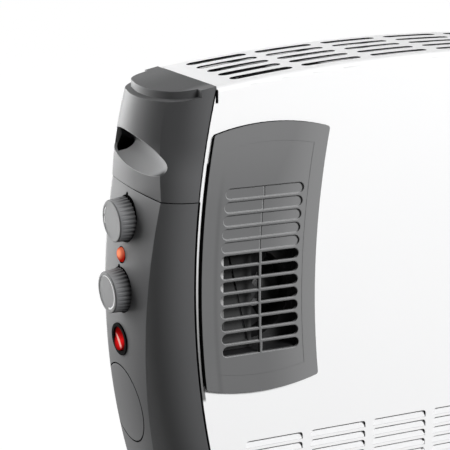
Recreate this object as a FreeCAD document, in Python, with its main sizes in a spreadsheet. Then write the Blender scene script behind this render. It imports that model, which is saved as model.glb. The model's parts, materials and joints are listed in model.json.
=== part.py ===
import FreeCAD, Part
import math
import os
import re
import Sketcher
from FreeCAD import Placement, Rotation, Vector

os.makedirs("parts", exist_ok=True)

# Free-standing convector heater with a turbo fan.
# Frame: floor at z = 0, front towards -Y, control end towards -X, origin under the middle.
# A folded steel sheet makes the front and the top, and a moulded cap closes each end.

# Driving dimensions in millimetres, angles in degrees
DIMENSIONS = (
    # Body: the crown of the top, the underside, and the front and rear faces
    ("top_height", 420.0),
    ("body_base", 36.0),
    ("front_depth", 62.0),
    ("rear_depth", 64.0),
    ("sheet_thickness", 1.0),
    ("fold_radius", 5.0),
    # Front view: arched top, and ends that bow outwards about one height
    ("arch_radius", 1724.0),
    ("bow_height", 230.0),
    ("seam_half_width", 262.0),
    ("seam_bow_radius", 747.0),
    ("end_bow_height", 205.0),
    ("end_half_width", 301.0),
    ("end_bow_radius", 640.0),
    ("seam_gap", 1.2),
    # Folded rear edge of the top, and the rear sheet lapped inside it
    ("flange_drop", 36.0),
    ("rear_sheet_drop", 23.0),
    ("edge_clearance", 0.4),
    # Relief cut at each end of the front fold
    ("relief_drop", 19.8),
    ("relief_length", 11.0),
    ("relief_width", 1.2),
    # Air outlet slots in the top
    ("outlet_length", 53.7),
    ("outlet_width", 9.0),
    ("outlet_pitch_across", 65.0),
    ("outlet_pitch_deep", 22.5),
    ("outlet_columns", 7),
    ("outlet_rows", 5),
    # Pressed intake louvres low on the front
    ("louvre_length", 54.7),
    ("louvre_height", 6.4),
    ("louvre_slit", 2.5),
    ("louvre_depth", 3.4),
    ("louvre_corner", 3.0),
    ("louvre_end_gap", 0.5),
    ("louvre_pitch_across", 62.7),
    ("louvre_pitch_up", 9.0),
    ("louvre_base", 52.0),
    ("louvre_columns", 7),
    ("louvre_rows", 5),
    # Intake slots in the bottom and rear sheets
    ("intake_length", 48.0),
    ("intake_width", 7.0),
    ("intake_pitch_across", 60.0),
    ("intake_pitch", 16.0),
    ("intake_columns", 7),
    ("bottom_intake_rows", 4),
    ("rear_intake_rows", 3),
    ("rear_intake_base", 62.0),
    # Curved end plates inside the seams, with a flange that carries the caps
    ("plate_inset", 4.0),
    ("plate_flange", 17.0),
    ("wire_hole_radius", 9.0),
    ("wire_hole_height", 150.0),
    # End caps: section of the moulding and the split between its two halves
    ("cap_wall", 2.5),
    ("cap_corner_radius", 18.0),
    ("cap_corner_radius_top", 24.0),
    ("end_lean", 0.03),
    ("end_roll", 330.0),
    ("split_height", 309.0),
    ("split_pitch", 9.0),
    ("split_roll", 4.6),
    ("split_rise", 14.0),
    ("split_fall", 7.0),
    ("split_gap", 0.7),
    ("crease_front_top", 35.0),
    ("crease_front_split", 41.0),
    ("crease_front_low", 15.0),
    ("crease_inset_top", 0.8),
    ("crease_inset_split", 9.5),
    ("crease_inset_low", 4.0),
    ("facet_bend", 0.5),
    ("facet_bend_top", 1.5),
    ("side_radius", 480.0),
    ("side_radius_top", 115.0),
    # Handle cap: stepped ledge round the top and the grip scooped into its side
    ("island_depth", 34.0),
    ("ledge_drop", 6.2),
    ("ledge_width", 6.0),
    ("post_front", 9.5),
    ("cap_arch_radius", 1200.0),
    ("handle_roof", 34.0),
    ("scoop_height", 342.0),
    ("scoop_middle", 5.0),
    ("scoop_reach", 24.0),
    ("scoop_half_length", 57.0),
    ("scoop_half_height", 14.2),
    ("scoop_tilt", 6.2),
    ("scoop_end", 55.0),
    ("scoop_mouth", 12.0),
    # Turbo grille plate on the front
    ("grille_inset", 4.0),
    ("grille_right", 153.4),
    ("grille_top", 364.0),
    ("grille_bottom", 148.0),
    ("grille_edge_radius", 183.0),
    ("grille_corner", 2.6),
    ("grille_proud", 4.0),
    ("grille_face", 3.2),
    ("grille_step_inset", 12.5),
    ("grille_step", 0.35),
    ("grille_rim", 2.0),
    ("grille_middle", 205.3),
    ("grille_slot_length", 71.0),
    ("grille_slot_height", 9.1),
    ("grille_slot_pitch", 11.24),
    ("grille_slot_top", 314.4),
    ("grille_blind_rows", 5),
    ("grille_open_rows", 8),
    ("grille_blind_depth", 2.2),
    ("grille_joint", 0.8),
    ("grille_joint_depth", 0.4),
    ("grille_rib", 2.2),
    ("window_margin", 4.0),
    # Controls on the left cap: one upright line, all axes turned a little to the front
    ("control_line", 11.5),
    ("control_lean", 0.03),
    ("control_turn", 5.0),
    ("control_drop", 3.0),
    ("face_set_back", 1.2),
    ("selector_height", 283.0),
    ("lamp_height", 251.0),
    ("thermostat_height", 220.3),
    ("rocker_height", 174.2),
    ("rocker_offset", 3.7),
    ("lamp_offset", 2.0),
    # Rotary knobs and their shafts; depths count inwards from the control face
    ("knob_stand", 13.0),
    ("knob_sink", 1.6),
    ("knob_face_radius", 18.2),
    ("knob_base_radius", 19.2),
    ("knob_wall", 2.0),
    ("knob_dish", 0.3),
    ("knob_dish_radius", 15.2),
    ("knob_bevel", 1.0),
    ("knob_hub_radius", 6.0),
    ("knob_recess_gap", 0.9),
    ("flute_radius", 1.4),
    ("flute_count", 30),
    ("shaft_radius", 3.0),
    ("shaft_clearance", 0.05),
    ("shaft_grip", 9.0),
    ("boss_depth", 7.0),
    ("boss_radius", 22.5),
    ("panel_hole_radius", 4.0),
    # Switch bodies behind the control face
    ("selector_radius", 15.0),
    ("selector_depth", 18.0),
    ("thermostat_width", 34.0),
    ("thermostat_tall", 28.0),
    ("thermostat_depth", 16.0),
    ("shaft_bore_depth", 13.0),
    # Pilot lamp
    ("lamp_radius", 6.4),
    ("lamp_clearance", 0.2),
    ("lamp_dome", 3.0),
    ("lamp_flange_radius", 8.6),
    ("lamp_seat", 4.5),
    ("lamp_body_depth", 14.0),
    # Round rocker switch
    ("bezel_radius", 14.4),
    ("bezel_proud", 1.2),
    ("bezel_seat", 1.5),
    ("barrel_radius", 12.4),
    ("barrel_depth", 17.0),
    ("rocker_well_radius", 11.2),
    ("rocker_well_depth", 12.5),
    ("rocker_radius", 10.2),
    ("rocker_pivot_depth", 4.0),
    ("rocker_tip", 4.2),
    ("rocker_valley", 2.6),
    ("rocker_back", 4.0),
    ("rocker_back_half", 6.0),
    ("rocker_tilt", 9.0),
    ("rocker_pin_radius", 1.5),
    ("rocker_pin_reach", 12.0),
    # Round cover over the unused timer place
    ("blank_height", 112.5),
    ("blank_radius", 36.0),
    ("blank_line", 24.5),
    ("blank_gap", 0.7),
    # Turbo fan behind the grille
    ("fan_tip_radius", 38.0),
    ("fan_hub_radius", 11.0),
    ("fan_hub_length", 18.0),
    ("fan_front", 34.0),
    ("fan_blades", 5),
    ("fan_blade_thickness", 1.4),
    ("fan_root_chord", 17.0),
    ("fan_tip_chord", 27.0),
    ("fan_root_pitch", 48.0),
    ("fan_tip_pitch", 26.0),
    ("fan_shaft_radius", 2.0),
    ("shroud_bore", 40.5),
    ("shroud_wall", 2.0),
    ("shroud_half", 46.0),
    ("shroud_length", 48.0),
    ("duct_length", 25.0),
    ("guide_depth", 12.0),
    ("guide_thickness", 1.6),
    ("guide_clearance", 0.2),
    ("guide_joint", 1.8),
    ("guide_joint_top", 22.5),
    ("guide_joint_lean", 12.0),
    ("spider_thickness", 3.0),
    ("spider_arm", 8.0),
    ("spider_disc", 16.0),
    ("motor_half_width", 24.0),
    ("motor_half_height", 20.0),
    ("motor_length", 16.0),
    ("coil_half_width", 13.0),
    ("coil_drop", 16.0),
    # Heating elements on their brackets
    ("element_height", 112.0),
    ("element_spacing", 44.0),
    ("element_half_length", 192.0),
    ("element_core_radius", 6.0),
    ("element_pin_radius", 4.0),
    ("element_pin_reach", 26.0),
    ("element_blade", 40.0),
    ("element_blade_thickness", 1.6),
    ("element_blade_angle", 32.0),
    ("bush_radius", 7.0),
    ("bush_length", 9.0),
    ("bracket_gap", 12.0),
    ("bracket_height", 92.0),
    ("bracket_half_depth", 42.0),
    ("bracket_foot", 14.0),
    # Heat shield, terminal block and thermal cut-out
    ("shield_line", 50.0),
    ("shield_half_width", 214.0),
    ("shield_top", 330.0),
    ("shield_foot", 11.0),
    ("terminal_length", 12.0),
    ("terminal_width", 30.0),
    ("terminal_tall", 12.0),
    ("cutout_radius", 7.5),
    ("cutout_length", 9.0),
    # Cord inlet low on the rear of the control cap
    ("gland_height", 62.0),
    ("gland_radius", 6.0),
    ("gland_bore", 3.8),
    ("gland_collar", 2.0),
    # Feet
    ("foot_place", 168.0),
    ("foot_width", 44.0),
    ("foot_length", 195.0),
    ("foot_toe", 12.0),
    ("foot_toe_length", 34.0),
    ("foot_arch", 13.0),
    ("foot_saddle", 58.0),
    ("foot_round", 5.0),
    ("pad_height", 3.0),
    ("pad_radius", 10.0),
    ("pad_place", 82.0),
    # Screws
    ("screw_head_radius", 3.6),
    ("screw_head", 2.0),
    ("screw_radius", 1.6),
    ("screw_clearance", 0.1),
    ("screw_length", 8.0),
    ("foot_screw_place", 40.0),
    ("rear_screw_place", 170.0),
)

doc = FreeCAD.newDocument("convector_heater")
sheet = doc.addObject("Spreadsheet::Sheet", "Dims")
for row, (alias, size) in enumerate(DIMENSIONS, start=1):
    sheet.set(f"A{row}", alias)
    sheet.set(f"B{row}", str(size))
    sheet.setAlias(f"B{row}", alias)
doc.recompute()
ALIASES = {alias for alias, size in DIMENSIONS}
nodes = []


# Ties between sizes and the sheet

def bound(expression):
    """The expression with every dimension's name pointed at the sheet."""
    def point(word):
        return f"Dims.{word.group()}" if word.group() in ALIASES else word.group()
    return re.sub(r"[a-z_]+", point, expression)


def value(expression):
    return float(sheet.evalExpression(bound(expression)))


def tie(item, path, expression):
    item.setExpression(path, bound(expression))


def bow(radius, height, middle="bow_height"):
    """How far an end that bows with this radius has come in at a height."""
    return f"({radius} - sqrt({radius}^2 - ({height} - {middle})^2))"


def seam(height):
    return f"(seam_half_width - {bow('seam_bow_radius', height)})"


def face(height):
    return f"(end_half_width - {bow('end_bow_radius', height, 'end_bow_height')})"


# The whole heater stands with the middle of its width, knobs included, over the origin
SQUARE = "(cos(control_turn * 1deg) * cos(control_drop * 1deg))"
KNOB_REACH = f"knob_stand * {SQUARE} + (knob_face_radius - knob_bevel) * sqrt(1 - {SQUARE}^2)"
CENTRE_SHIFT = f"({face('thermostat_height')} - face_set_back + {KNOB_REACH} - end_half_width) / 2"


def place(item, x="0", y="0", z="0"):
    tie(item, "Placement.Base.x", x)
    tie(item, "Placement.Base.y", y)
    tie(item, "Placement.Base.z", z)
    return item


def node(item, label, x="0", y="0", z="0"):
    """Names a finished piece and sets it in the heater's frame."""
    item.Label = label
    place(item, f"{x} + {CENTRE_SHIFT}", y, z)
    nodes.append(item)
    return item


# Part primitives and booleans

AXIS_TURN = {
    "x": Rotation(Vector(0, 1, 0), 90),
    "y": Rotation(Vector(1, 0, 0), -90),
    "z": Rotation(),
}


def box(name, low, high):
    item = doc.addObject("Part::Box", name)
    for path, start, end in zip(("Length", "Width", "Height"), low, high):
        tie(item, path, f"({end}) - ({start})")
    return place(item, *low)


def cylinder(name, axis, start, radius, length):
    item = doc.addObject("Part::Cylinder", name)
    tie(item, "Radius", radius)
    tie(item, "Height", length)
    item.Placement = Placement(Vector(), AXIS_TURN[axis])
    return place(item, *start)


def fuse(name, *items):
    item = doc.addObject("Part::MultiFuse", name)
    item.Shapes = list(items)
    item.Refine = True
    return item


def group(name, *items):
    """Solids kept apart that are set in place together."""
    item = doc.addObject("Part::Compound", name)
    item.Links = list(items)
    return item


def cut(name, base, *tools):
    item = doc.addObject("Part::Cut", name)
    item.Base = base
    item.Tool = tools[0] if len(tools) == 1 else fuse(name + "_tools", *tools)
    item.Refine = True
    return item


def common(name, base, tool):
    item = doc.addObject("Part::Common", name)
    item.Base = base
    item.Tool = tool
    return item


def mirrored_node(label, source):
    """The same piece at the other end, mirrored about the middle of the white body."""
    item = doc.addObject("Part::Mirroring", label)
    item.Source = source
    item.Normal = Vector(1, 0, 0)
    tie(item, "Base.x", CENTRE_SHIFT)
    item.Label = label
    nodes.append(item)
    return item


# Sketches and the features made from them

def new_body(name):
    return doc.addObject("PartDesign::Body", name)


def sketch(body, name, role, offset="0"):
    plane = next(item for item in body.Origin.OriginFeatures if item.Role == role)
    item = body.newObject("Sketcher::SketchObject", name)
    item.AttachmentSupport = [(plane, "")]
    item.MapMode = "FlatFace"
    tie(item, "AttachmentOffset.Base.z", offset)
    return item


def hold(drawing, kind, where, expression):
    """A sketch constraint whose size is tied to the sheet."""
    index = drawing.addConstraint(Sketcher.Constraint(kind, *where, value(expression)))
    name = f"{kind.lower()}_{index}"
    drawing.renameConstraint(index, name)
    tie(drawing, f"Constraints.{name}", expression)


def pin(drawing, line, end, x, y):
    hold(drawing, "DistanceX", (-1, 1, line, end), x)
    hold(drawing, "DistanceY", (-1, 1, line, end), y)


def join(drawing, *pairs):
    for pair in pairs:
        drawing.addConstraint(Sketcher.Constraint("Coincident", *pair))


def polygon(drawing, points):
    corners = [Vector(value(x), value(y), 0) for x, y in points]
    lines = []
    for index, corner in enumerate(corners):
        following = corners[(index + 1) % len(corners)]
        lines.append(drawing.addGeometry(Part.LineSegment(corner, following)))
    for index, line in enumerate(lines):
        join(drawing, (line, 2, lines[(index + 1) % len(lines)], 1))
        pin(drawing, line, 1, *points[index])


def rectangle(drawing, left, right, low, high):
    polygon(drawing, ((left, low), (right, low), (right, high), (left, high)))


def circle(drawing, x, y, radius):
    ring = Part.Circle(Vector(value(x), value(y), 0), Vector(0, 0, 1), value(radius))
    index = drawing.addGeometry(ring)
    pin(drawing, index, 3, x, y)
    hold(drawing, "Radius", (index,), radius)


def arc(drawing, centre, radius, first, last):
    """An arc about a centre, anticlockwise between two points near its ends."""
    middle = Vector(value(centre[0]), value(centre[1]), 0)
    angles = [math.atan2(spot.y - middle.y, spot.x - middle.x) for spot in (first, last)]
    ring = Part.Circle(middle, Vector(0, 0, 1), value(radius))
    return drawing.addGeometry(Part.ArcOfCircle(ring, *angles))


def eyelid(drawing, left, right, low, high, radius):
    """An opening with a square foot and round upper corners."""
    x_low, x_high, y_low, y_high, bend = (value(item) for item in (left, right, low, high, radius))
    spots = [Vector(x_low, y_low, 0), Vector(x_high, y_low, 0), Vector(x_high, y_high - bend, 0)]
    spots += [Vector(x_high - bend, y_high, 0), Vector(x_low + bend, y_high, 0)]
    spots.append(Vector(x_low, y_high - bend, 0))
    pairs = ((0, 1), (1, 2), (3, 4), (5, 0))
    foot, right_side, top, left_side = (
        drawing.addGeometry(Part.LineSegment(spots[a], spots[b])) for a, b in pairs
    )
    bends = []
    for x, start in ((x_high - bend, 0), (x_low + bend, math.pi / 2)):
        ring = Part.Circle(Vector(x, y_high - bend, 0), Vector(0, 0, 1), bend)
        bends.append(drawing.addGeometry(Part.ArcOfCircle(ring, start, start + math.pi / 2)))
    join(drawing, (foot, 2, right_side, 1), (left_side, 2, foot, 1))
    chain = (right_side, bends[0], top, bends[1], left_side)
    for first, second in zip(chain, chain[1:]):
        drawing.addConstraint(Sketcher.Constraint("Tangent", first, 2, second, 1))
    pin(drawing, foot, 1, left, low)
    pin(drawing, foot, 2, right, low)
    for curve, x in zip(bends, (f"{right} - {radius}", f"{left} + {radius}")):
        pin(drawing, curve, 3, x, f"{high} - {radius}")
        hold(drawing, "Radius", (curve,), radius)


def slot(drawing, x, y, length, width):
    """A slot with round ends along the sketch's first axis."""
    reach = f"(({length}) - ({width})) / 2"
    half = value(width) / 2
    ends = []
    for side in (-1, 1):
        middle = Vector(value(x) + side * value(reach), value(y), 0)
        start = math.pi / 2 if side < 0 else -math.pi / 2
        ring = Part.Circle(middle, Vector(0, 0, 1), half)
        ends.append(drawing.addGeometry(Part.ArcOfCircle(ring, start, start + math.pi)))
    left, right = ends
    left_x = value(x) - value(reach)
    right_x = value(x) + value(reach)
    edges = []
    for rise in (half, -half):
        level = value(y) + rise
        edge = Part.LineSegment(Vector(left_x, level, 0), Vector(right_x, level, 0))
        edges.append(drawing.addGeometry(edge))
    high, low = edges
    for pair in ((left, 1, high, 1), (left, 2, low, 1), (right, 1, low, 2), (right, 2, high, 2)):
        drawing.addConstraint(Sketcher.Constraint("Tangent", *pair))
    pin(drawing, left, 3, f"({x}) - {reach}", y)
    pin(drawing, right, 3, f"({x}) + {reach}", y)
    hold(drawing, "Radius", (left,), f"({width}) / 2")


def pad(body, profile, length, reverse=False):
    item = body.newObject("PartDesign::Pad", profile.Name + "_pad")
    item.Profile = profile
    tie(item, "Length", length)
    item.Reversed = reverse
    doc.recompute()
    return item


def pocket(body, profile, length, reverse=False):
    before = body.Shape.Volume
    item = body.newObject("PartDesign::Pocket", profile.Name + "_pocket")
    item.Profile = profile
    tie(item, "Length", length)
    item.Reversed = reverse
    doc.recompute()
    if not body.Shape.Volume < before:
        raise RuntimeError(f"{item.Name} cuts nothing")
    return item


def fillet(body, radius, wanted):
    """Rounds the edges of the body that the test picks."""
    base = body.Tip
    edges = [f"Edge{n}" for n, edge in enumerate(base.Shape.Edges, start=1) if wanted(edge)]
    item = body.newObject("PartDesign::Fillet", f"{body.Name}_fillet")
    item.Base = (base, edges)
    tie(item, "Radius", radius)
    doc.recompute()
    return item


def grid(body, feature, drawing, across, up):
    """Repeats a feature in columns and rows; each is a count and a pitch."""
    repeat = body.newObject("PartDesign::MultiTransform", feature.Name + "_grid")
    repeat.Originals = [feature]
    steps = []
    for axis, (count, pitch) in (("H_Axis", across), ("V_Axis", up)):
        step = body.newObject("PartDesign::LinearPattern", f"{feature.Name}_{axis}")
        step.Direction = (drawing, [axis])
        tie(step, "Length", f"({count} - 1) * {pitch}")
        tie(step, "Occurrences", count)
        steps.append(step)
    repeat.Transformations = steps
    body.Tip = repeat
    doc.recompute()


def bowed_outline(drawing, inset, low, high=None):
    """Front-view outline between the two bowed seams: arched at the top, or straight."""
    middle = "bow_height"
    radius = f"seam_bow_radius - ({inset})"
    reach = "seam_bow_radius - seam_half_width"
    base_x = value(f"{seam(low)} - ({inset})")
    base_z = value(low)
    crown_z = value(high) if high else value(f"top_height - {seam('top_height')}^2 / 2 / arch_radius")
    crown_x = value(f"{seam(high or '(top_height - rear_sheet_drop)')} - ({inset})")
    corner = {}
    for side in (-1, 1):
        corner[side, "low"] = Vector(side * base_x, base_z, 0)
        corner[side, "high"] = Vector(side * crown_x, crown_z, 0)
    left = arc(drawing, (reach, middle), radius, corner[-1, "high"], corner[-1, "low"])
    right_start = corner[1, "low"]
    right = arc(drawing, (f"-({reach})", middle), radius, right_start, corner[1, "high"])
    bottom = drawing.addGeometry(Part.LineSegment(corner[-1, "low"], corner[1, "low"]))
    if high:
        top = drawing.addGeometry(Part.LineSegment(corner[1, "high"], corner[-1, "high"]))
        hold(drawing, "DistanceY", (-1, 1, top, 1), high)
        drawing.addConstraint(Sketcher.Constraint("Horizontal", top))
    else:
        centre = ("0", "top_height - arch_radius")
        top = arc(drawing, centre, "arch_radius", corner[1, "high"], corner[-1, "high"])
        pin(drawing, top, 3, *centre)
        hold(drawing, "Radius", (top,), "arch_radius")
    join(drawing, (left, 1, top, 2), (top, 1, right, 2), (right, 1, bottom, 2), (bottom, 1, left, 2))
    for index, x in ((left, reach), (right, f"-({reach})")):
        pin(drawing, index, 3, x, middle)
        hold(drawing, "Radius", (index,), radius)
    hold(drawing, "DistanceY", (-1, 1, bottom, 1), low)
    drawing.addConstraint(Sketcher.Constraint("Horizontal", bottom))


def bowed_band(drawing, outer, inner, low, high):
    """A band between two arcs that share the left seam's centre; sizes are insets from the seam."""
    reach = "seam_bow_radius - seam_half_width"
    rims = []
    for inset in (outer, inner):
        ends = []
        for level in (high, low):
            ends.append(Vector(-value(f"{seam(level)} - ({inset})"), value(level), 0))
        radius = f"seam_bow_radius - ({inset})"
        rim = arc(drawing, (reach, "bow_height"), radius, *ends)
        pin(drawing, rim, 3, reach, "bow_height")
        hold(drawing, "Radius", (rim,), radius)
        rims.append((rim, ends))
    (left, left_ends), (right, right_ends) = rims
    for end, level in ((0, high), (1, low)):
        line = drawing.addGeometry(Part.LineSegment(left_ends[end], right_ends[end]))
        join(drawing, (left, end + 1, line, 1), (right, end + 1, line, 2))
        drawing.addConstraint(Sketcher.Constraint("Horizontal", line))
        hold(drawing, "DistanceY", (-1, 1, line, 1), level)


# Front panel: one white sheet, folded back over the top and down behind it

FLANGE_BASE = "(top_height - flange_drop)"


def arched(edge, y):
    box_of = edge.BoundBox
    return abs(box_of.YMin - y) < 0.01 and abs(box_of.YMax - y) < 0.01 and box_of.ZMin > value(FLANGE_BASE)


def make_panel_hollow():
    """The space inside the folded sheet, open at both ends and below."""
    body = new_body("panel_hollow")
    hollow = sketch(body, "hollow_outline", "XZ_Plane", "sheet_thickness - rear_depth")
    past = "seam_half_width + fold_radius"
    crown = "top_height - sheet_thickness"
    centre = ("0", "top_height - arch_radius")
    radius = "arch_radius - sheet_thickness"
    level = value(f"{crown} - ({past})^2 / 2 / arch_radius")
    ends = [Vector(side * value(past), level, 0) for side in (1, -1)]
    low = "body_base - fold_radius"
    feet = [Vector(side * value(past), value(low), 0) for side in (1, -1)]
    roof = arc(hollow, centre, radius, *ends)
    walls = [hollow.addGeometry(Part.LineSegment(a, b)) for a, b in zip(ends, feet)]
    floor = hollow.addGeometry(Part.LineSegment(*feet))
    pin(hollow, roof, 3, *centre)
    hold(hollow, "Radius", (roof,), radius)
    for index, wall in enumerate(walls):
        join(hollow, (roof, index + 1, wall, 1), (wall, 2, floor, index + 1))
        hollow.addConstraint(Sketcher.Constraint("Vertical", wall))
        hold(hollow, "DistanceX", (-1, 1, wall, 2), past if index == 0 else f"-({past})")
    hollow.addConstraint(Sketcher.Constraint("Horizontal", floor))
    hold(hollow, "DistanceY", (-1, 1, floor, 1), low)
    pad(body, hollow, "front_depth + rear_depth - 2 * sheet_thickness")
    planes = (value("sheet_thickness - front_depth"), value("rear_depth - sheet_thickness"))
    fillet(body, "fold_radius - sheet_thickness", lambda edge: any(arched(edge, y) for y in planes))
    return body


def make_front_panel():
    hollow = make_panel_hollow()
    body = new_body("front_sheet")
    outline = sketch(body, "front_outline", "XZ_Plane", "-rear_depth")
    bowed_outline(outline, "0", "body_base")
    pad(body, outline, "front_depth + rear_depth")
    # Round folds at the front and the rear of the top, then the space inside
    planes = (value("-front_depth"), value("rear_depth"))
    fillet(body, "fold_radius", lambda edge: any(arched(edge, y) for y in planes))
    inside = body.newObject("PartDesign::Boolean", "panel_inside")
    inside.Type = "Cut"
    inside.setObjects([hollow])
    doc.recompute()
    # Behind, only a short flange is left under the top
    past = "seam_half_width + fold_radius"
    back = sketch(body, "panel_back", "XZ_Plane", "-rear_depth - sheet_thickness")
    rectangle(back, f"-({past})", past, "body_base - fold_radius", FLANGE_BASE)
    pocket(body, back, "3 * sheet_thickness", reverse=True)
    # Relief cuts at both ends of the front fold
    for side in (-1, 1):
        relief = sketch(body, f"fold_relief_{side + 1}", "XZ_Plane", "front_depth + sheet_thickness")
        end = seam("(top_height - relief_drop)")
        near, far = f"{side} * ({end} - relief_width)", f"{side} * ({end} + relief_width)"
        foot = "top_height - relief_drop - relief_length"
        ends = (near, far) if side > 0 else (far, near)
        eyelid(relief, *ends, foot, "top_height - relief_drop", "relief_width / 2")
        pocket(body, relief, "fold_radius + sheet_thickness")
    # Outlet slots through the top
    outlet = sketch(body, "outlet_slot", "XY_Plane", "top_height + fold_radius")
    first_x = "-(outlet_columns - 1) / 2 * outlet_pitch_across"
    first_y = "-(outlet_rows - 1) / 2 * outlet_pitch_deep"
    slot(outlet, first_x, first_y, "outlet_length", "outlet_width")
    feature = pocket(body, outlet, "flange_drop + fold_radius")
    across = ("outlet_columns", "outlet_pitch_across")
    grid(body, feature, outlet, across, ("outlet_rows", "outlet_pitch_deep"))
    # Window for the turbo air, behind the open slots of the grille
    window = sketch(body, "turbo_window", "XZ_Plane", "front_depth + sheet_thickness")
    middle = f"-(grille_middle - {bow('seam_bow_radius', FAN_HEIGHT)})"
    half = "grille_slot_length / 2 + window_margin"
    rise = "grille_open_rows / 2 * grille_slot_pitch + window_margin"
    sides = (f"{middle} - ({half})", f"{middle} + {half}")
    rectangle(window, *sides, f"{FAN_HEIGHT} - ({rise})", f"{FAN_HEIGHT} + {rise}")
    pocket(body, window, "3 * sheet_thickness")
    # Louvres: a strip cut free at its top and ends, and pressed inwards
    gap = sketch(body, "louvre_gap", "XZ_Plane", "front_depth + sheet_thickness")
    left = "-(louvre_columns - 1) / 2 * louvre_pitch_across - louvre_length / 2"
    louvre = (left, f"{left} + louvre_length", "louvre_base", "louvre_base + louvre_height")
    eyelid(gap, *louvre, "louvre_corner")
    feature = pocket(body, gap, "3 * sheet_thickness")
    across = ("louvre_columns", "louvre_pitch_across")
    grid(body, feature, gap, across, ("louvre_rows", "louvre_pitch_up"))
    strip = sketch(body, "louvre_strip", "YZ_Plane", f"{left} + louvre_end_gap")
    root = "louvre_base - sheet_thickness"
    tip = "louvre_base + louvre_height - louvre_slit"
    polygon(strip, (
        ("-front_depth", root),
        ("sheet_thickness - front_depth", root),
        ("sheet_thickness + louvre_depth - front_depth", tip),
        ("louvre_depth - front_depth", tip),
    ))
    feature = pad(body, strip, "louvre_length - 2 * louvre_end_gap")
    grid(body, feature, gap, across, ("louvre_rows", "louvre_pitch_up"))
    return body


FAN_HEIGHT = "(grille_slot_top - (grille_blind_rows + (grille_open_rows - 1) / 2) * grille_slot_pitch)"
FAN_MIDDLE = f"(grille_middle - {bow('seam_bow_radius', FAN_HEIGHT)})"


# Rear sheet, lapped inside the flange of the top, with intake slots low down

def make_rear_panel():
    body = new_body("rear_sheet")
    outline = sketch(body, "rear_outline", "XZ_Plane", "sheet_thickness - rear_depth")
    bowed_outline(outline, "edge_clearance", "body_base", "top_height - rear_sheet_drop")
    pad(body, outline, "sheet_thickness")
    intake = sketch(body, "rear_intake", "XZ_Plane", "2 * sheet_thickness - rear_depth")
    first = "-(intake_columns - 1) / 2 * intake_pitch_across"
    slot(intake, first, "rear_intake_base", "intake_length", "intake_width")
    feature = pocket(body, intake, "3 * sheet_thickness")
    across = ("intake_columns", "intake_pitch_across")
    grid(body, feature, intake, across, ("rear_intake_rows", "intake_pitch"))
    return body


# Bottom sheet between the front and the rear, slotted for the rising air

def make_bottom_grille():
    body = new_body("bottom_sheet")
    outline = sketch(body, "bottom_outline", "XY_Plane", "body_base")
    half = f"{seam('body_base')} - edge_clearance"
    rear = "rear_depth - 2 * sheet_thickness"
    rectangle(outline, f"-({half})", half, "sheet_thickness - front_depth", rear)
    pad(body, outline, "sheet_thickness")
    intake = sketch(body, "bottom_intake", "XY_Plane", "body_base + 2 * sheet_thickness")
    first_x = "-(intake_columns - 1) / 2 * intake_pitch_across"
    first_y = "-(bottom_intake_rows - 1) / 2 * intake_pitch"
    slot(intake, first_x, first_y, "intake_length", "intake_width")
    feature = pocket(body, intake, "4 * sheet_thickness")
    across = ("intake_columns", "intake_pitch_across")
    grid(body, feature, intake, across, ("bottom_intake_rows", "intake_pitch"))
    return body


# End plates: sheet bent to the bow of the seam, with a flange behind that takes the cap's screws

def make_end_plate():
    body = new_body("end_plate")
    rear = "rear_depth - 2 * sheet_thickness"
    low = "body_base + sheet_thickness"
    high = "top_height - rear_sheet_drop + sheet_thickness"
    web = sketch(body, "plate_web", "XZ_Plane", f"-({rear})")
    bowed_band(web, "plate_inset", "plate_inset + sheet_thickness", low, high)
    pad(body, web, f"front_depth - sheet_thickness + {rear}")
    flange = sketch(body, "plate_flange_band", "XZ_Plane", "cap_wall - rear_depth")
    foot = "body_base + cap_wall + sheet_thickness"
    head = "top_height - handle_roof - sheet_thickness"
    bowed_band(flange, "plate_inset - plate_flange", "plate_inset + sheet_thickness", foot, head)
    pad(body, flange, "sheet_thickness")
    hole = sketch(body, "wire_hole", "YZ_Plane", "0")
    circle(hole, "control_line", "wire_hole_height", "wire_hole_radius")
    pocket(body, hole, "end_half_width", reverse=False)
    return body


# End caps: plan sections of the left end, lofted up the height

def upper_face(height):
    """How far out the upper moulding's side lies at a height; it rolls in towards the top."""
    rise = f"({height} - split_height)"
    return f"({face('split_height')} - end_lean * {rise} - {rise}^2 / 2 / end_roll)"


def between(first, last, run):
    return f"({first} + ({last} - {first}) * {run})"


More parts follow.
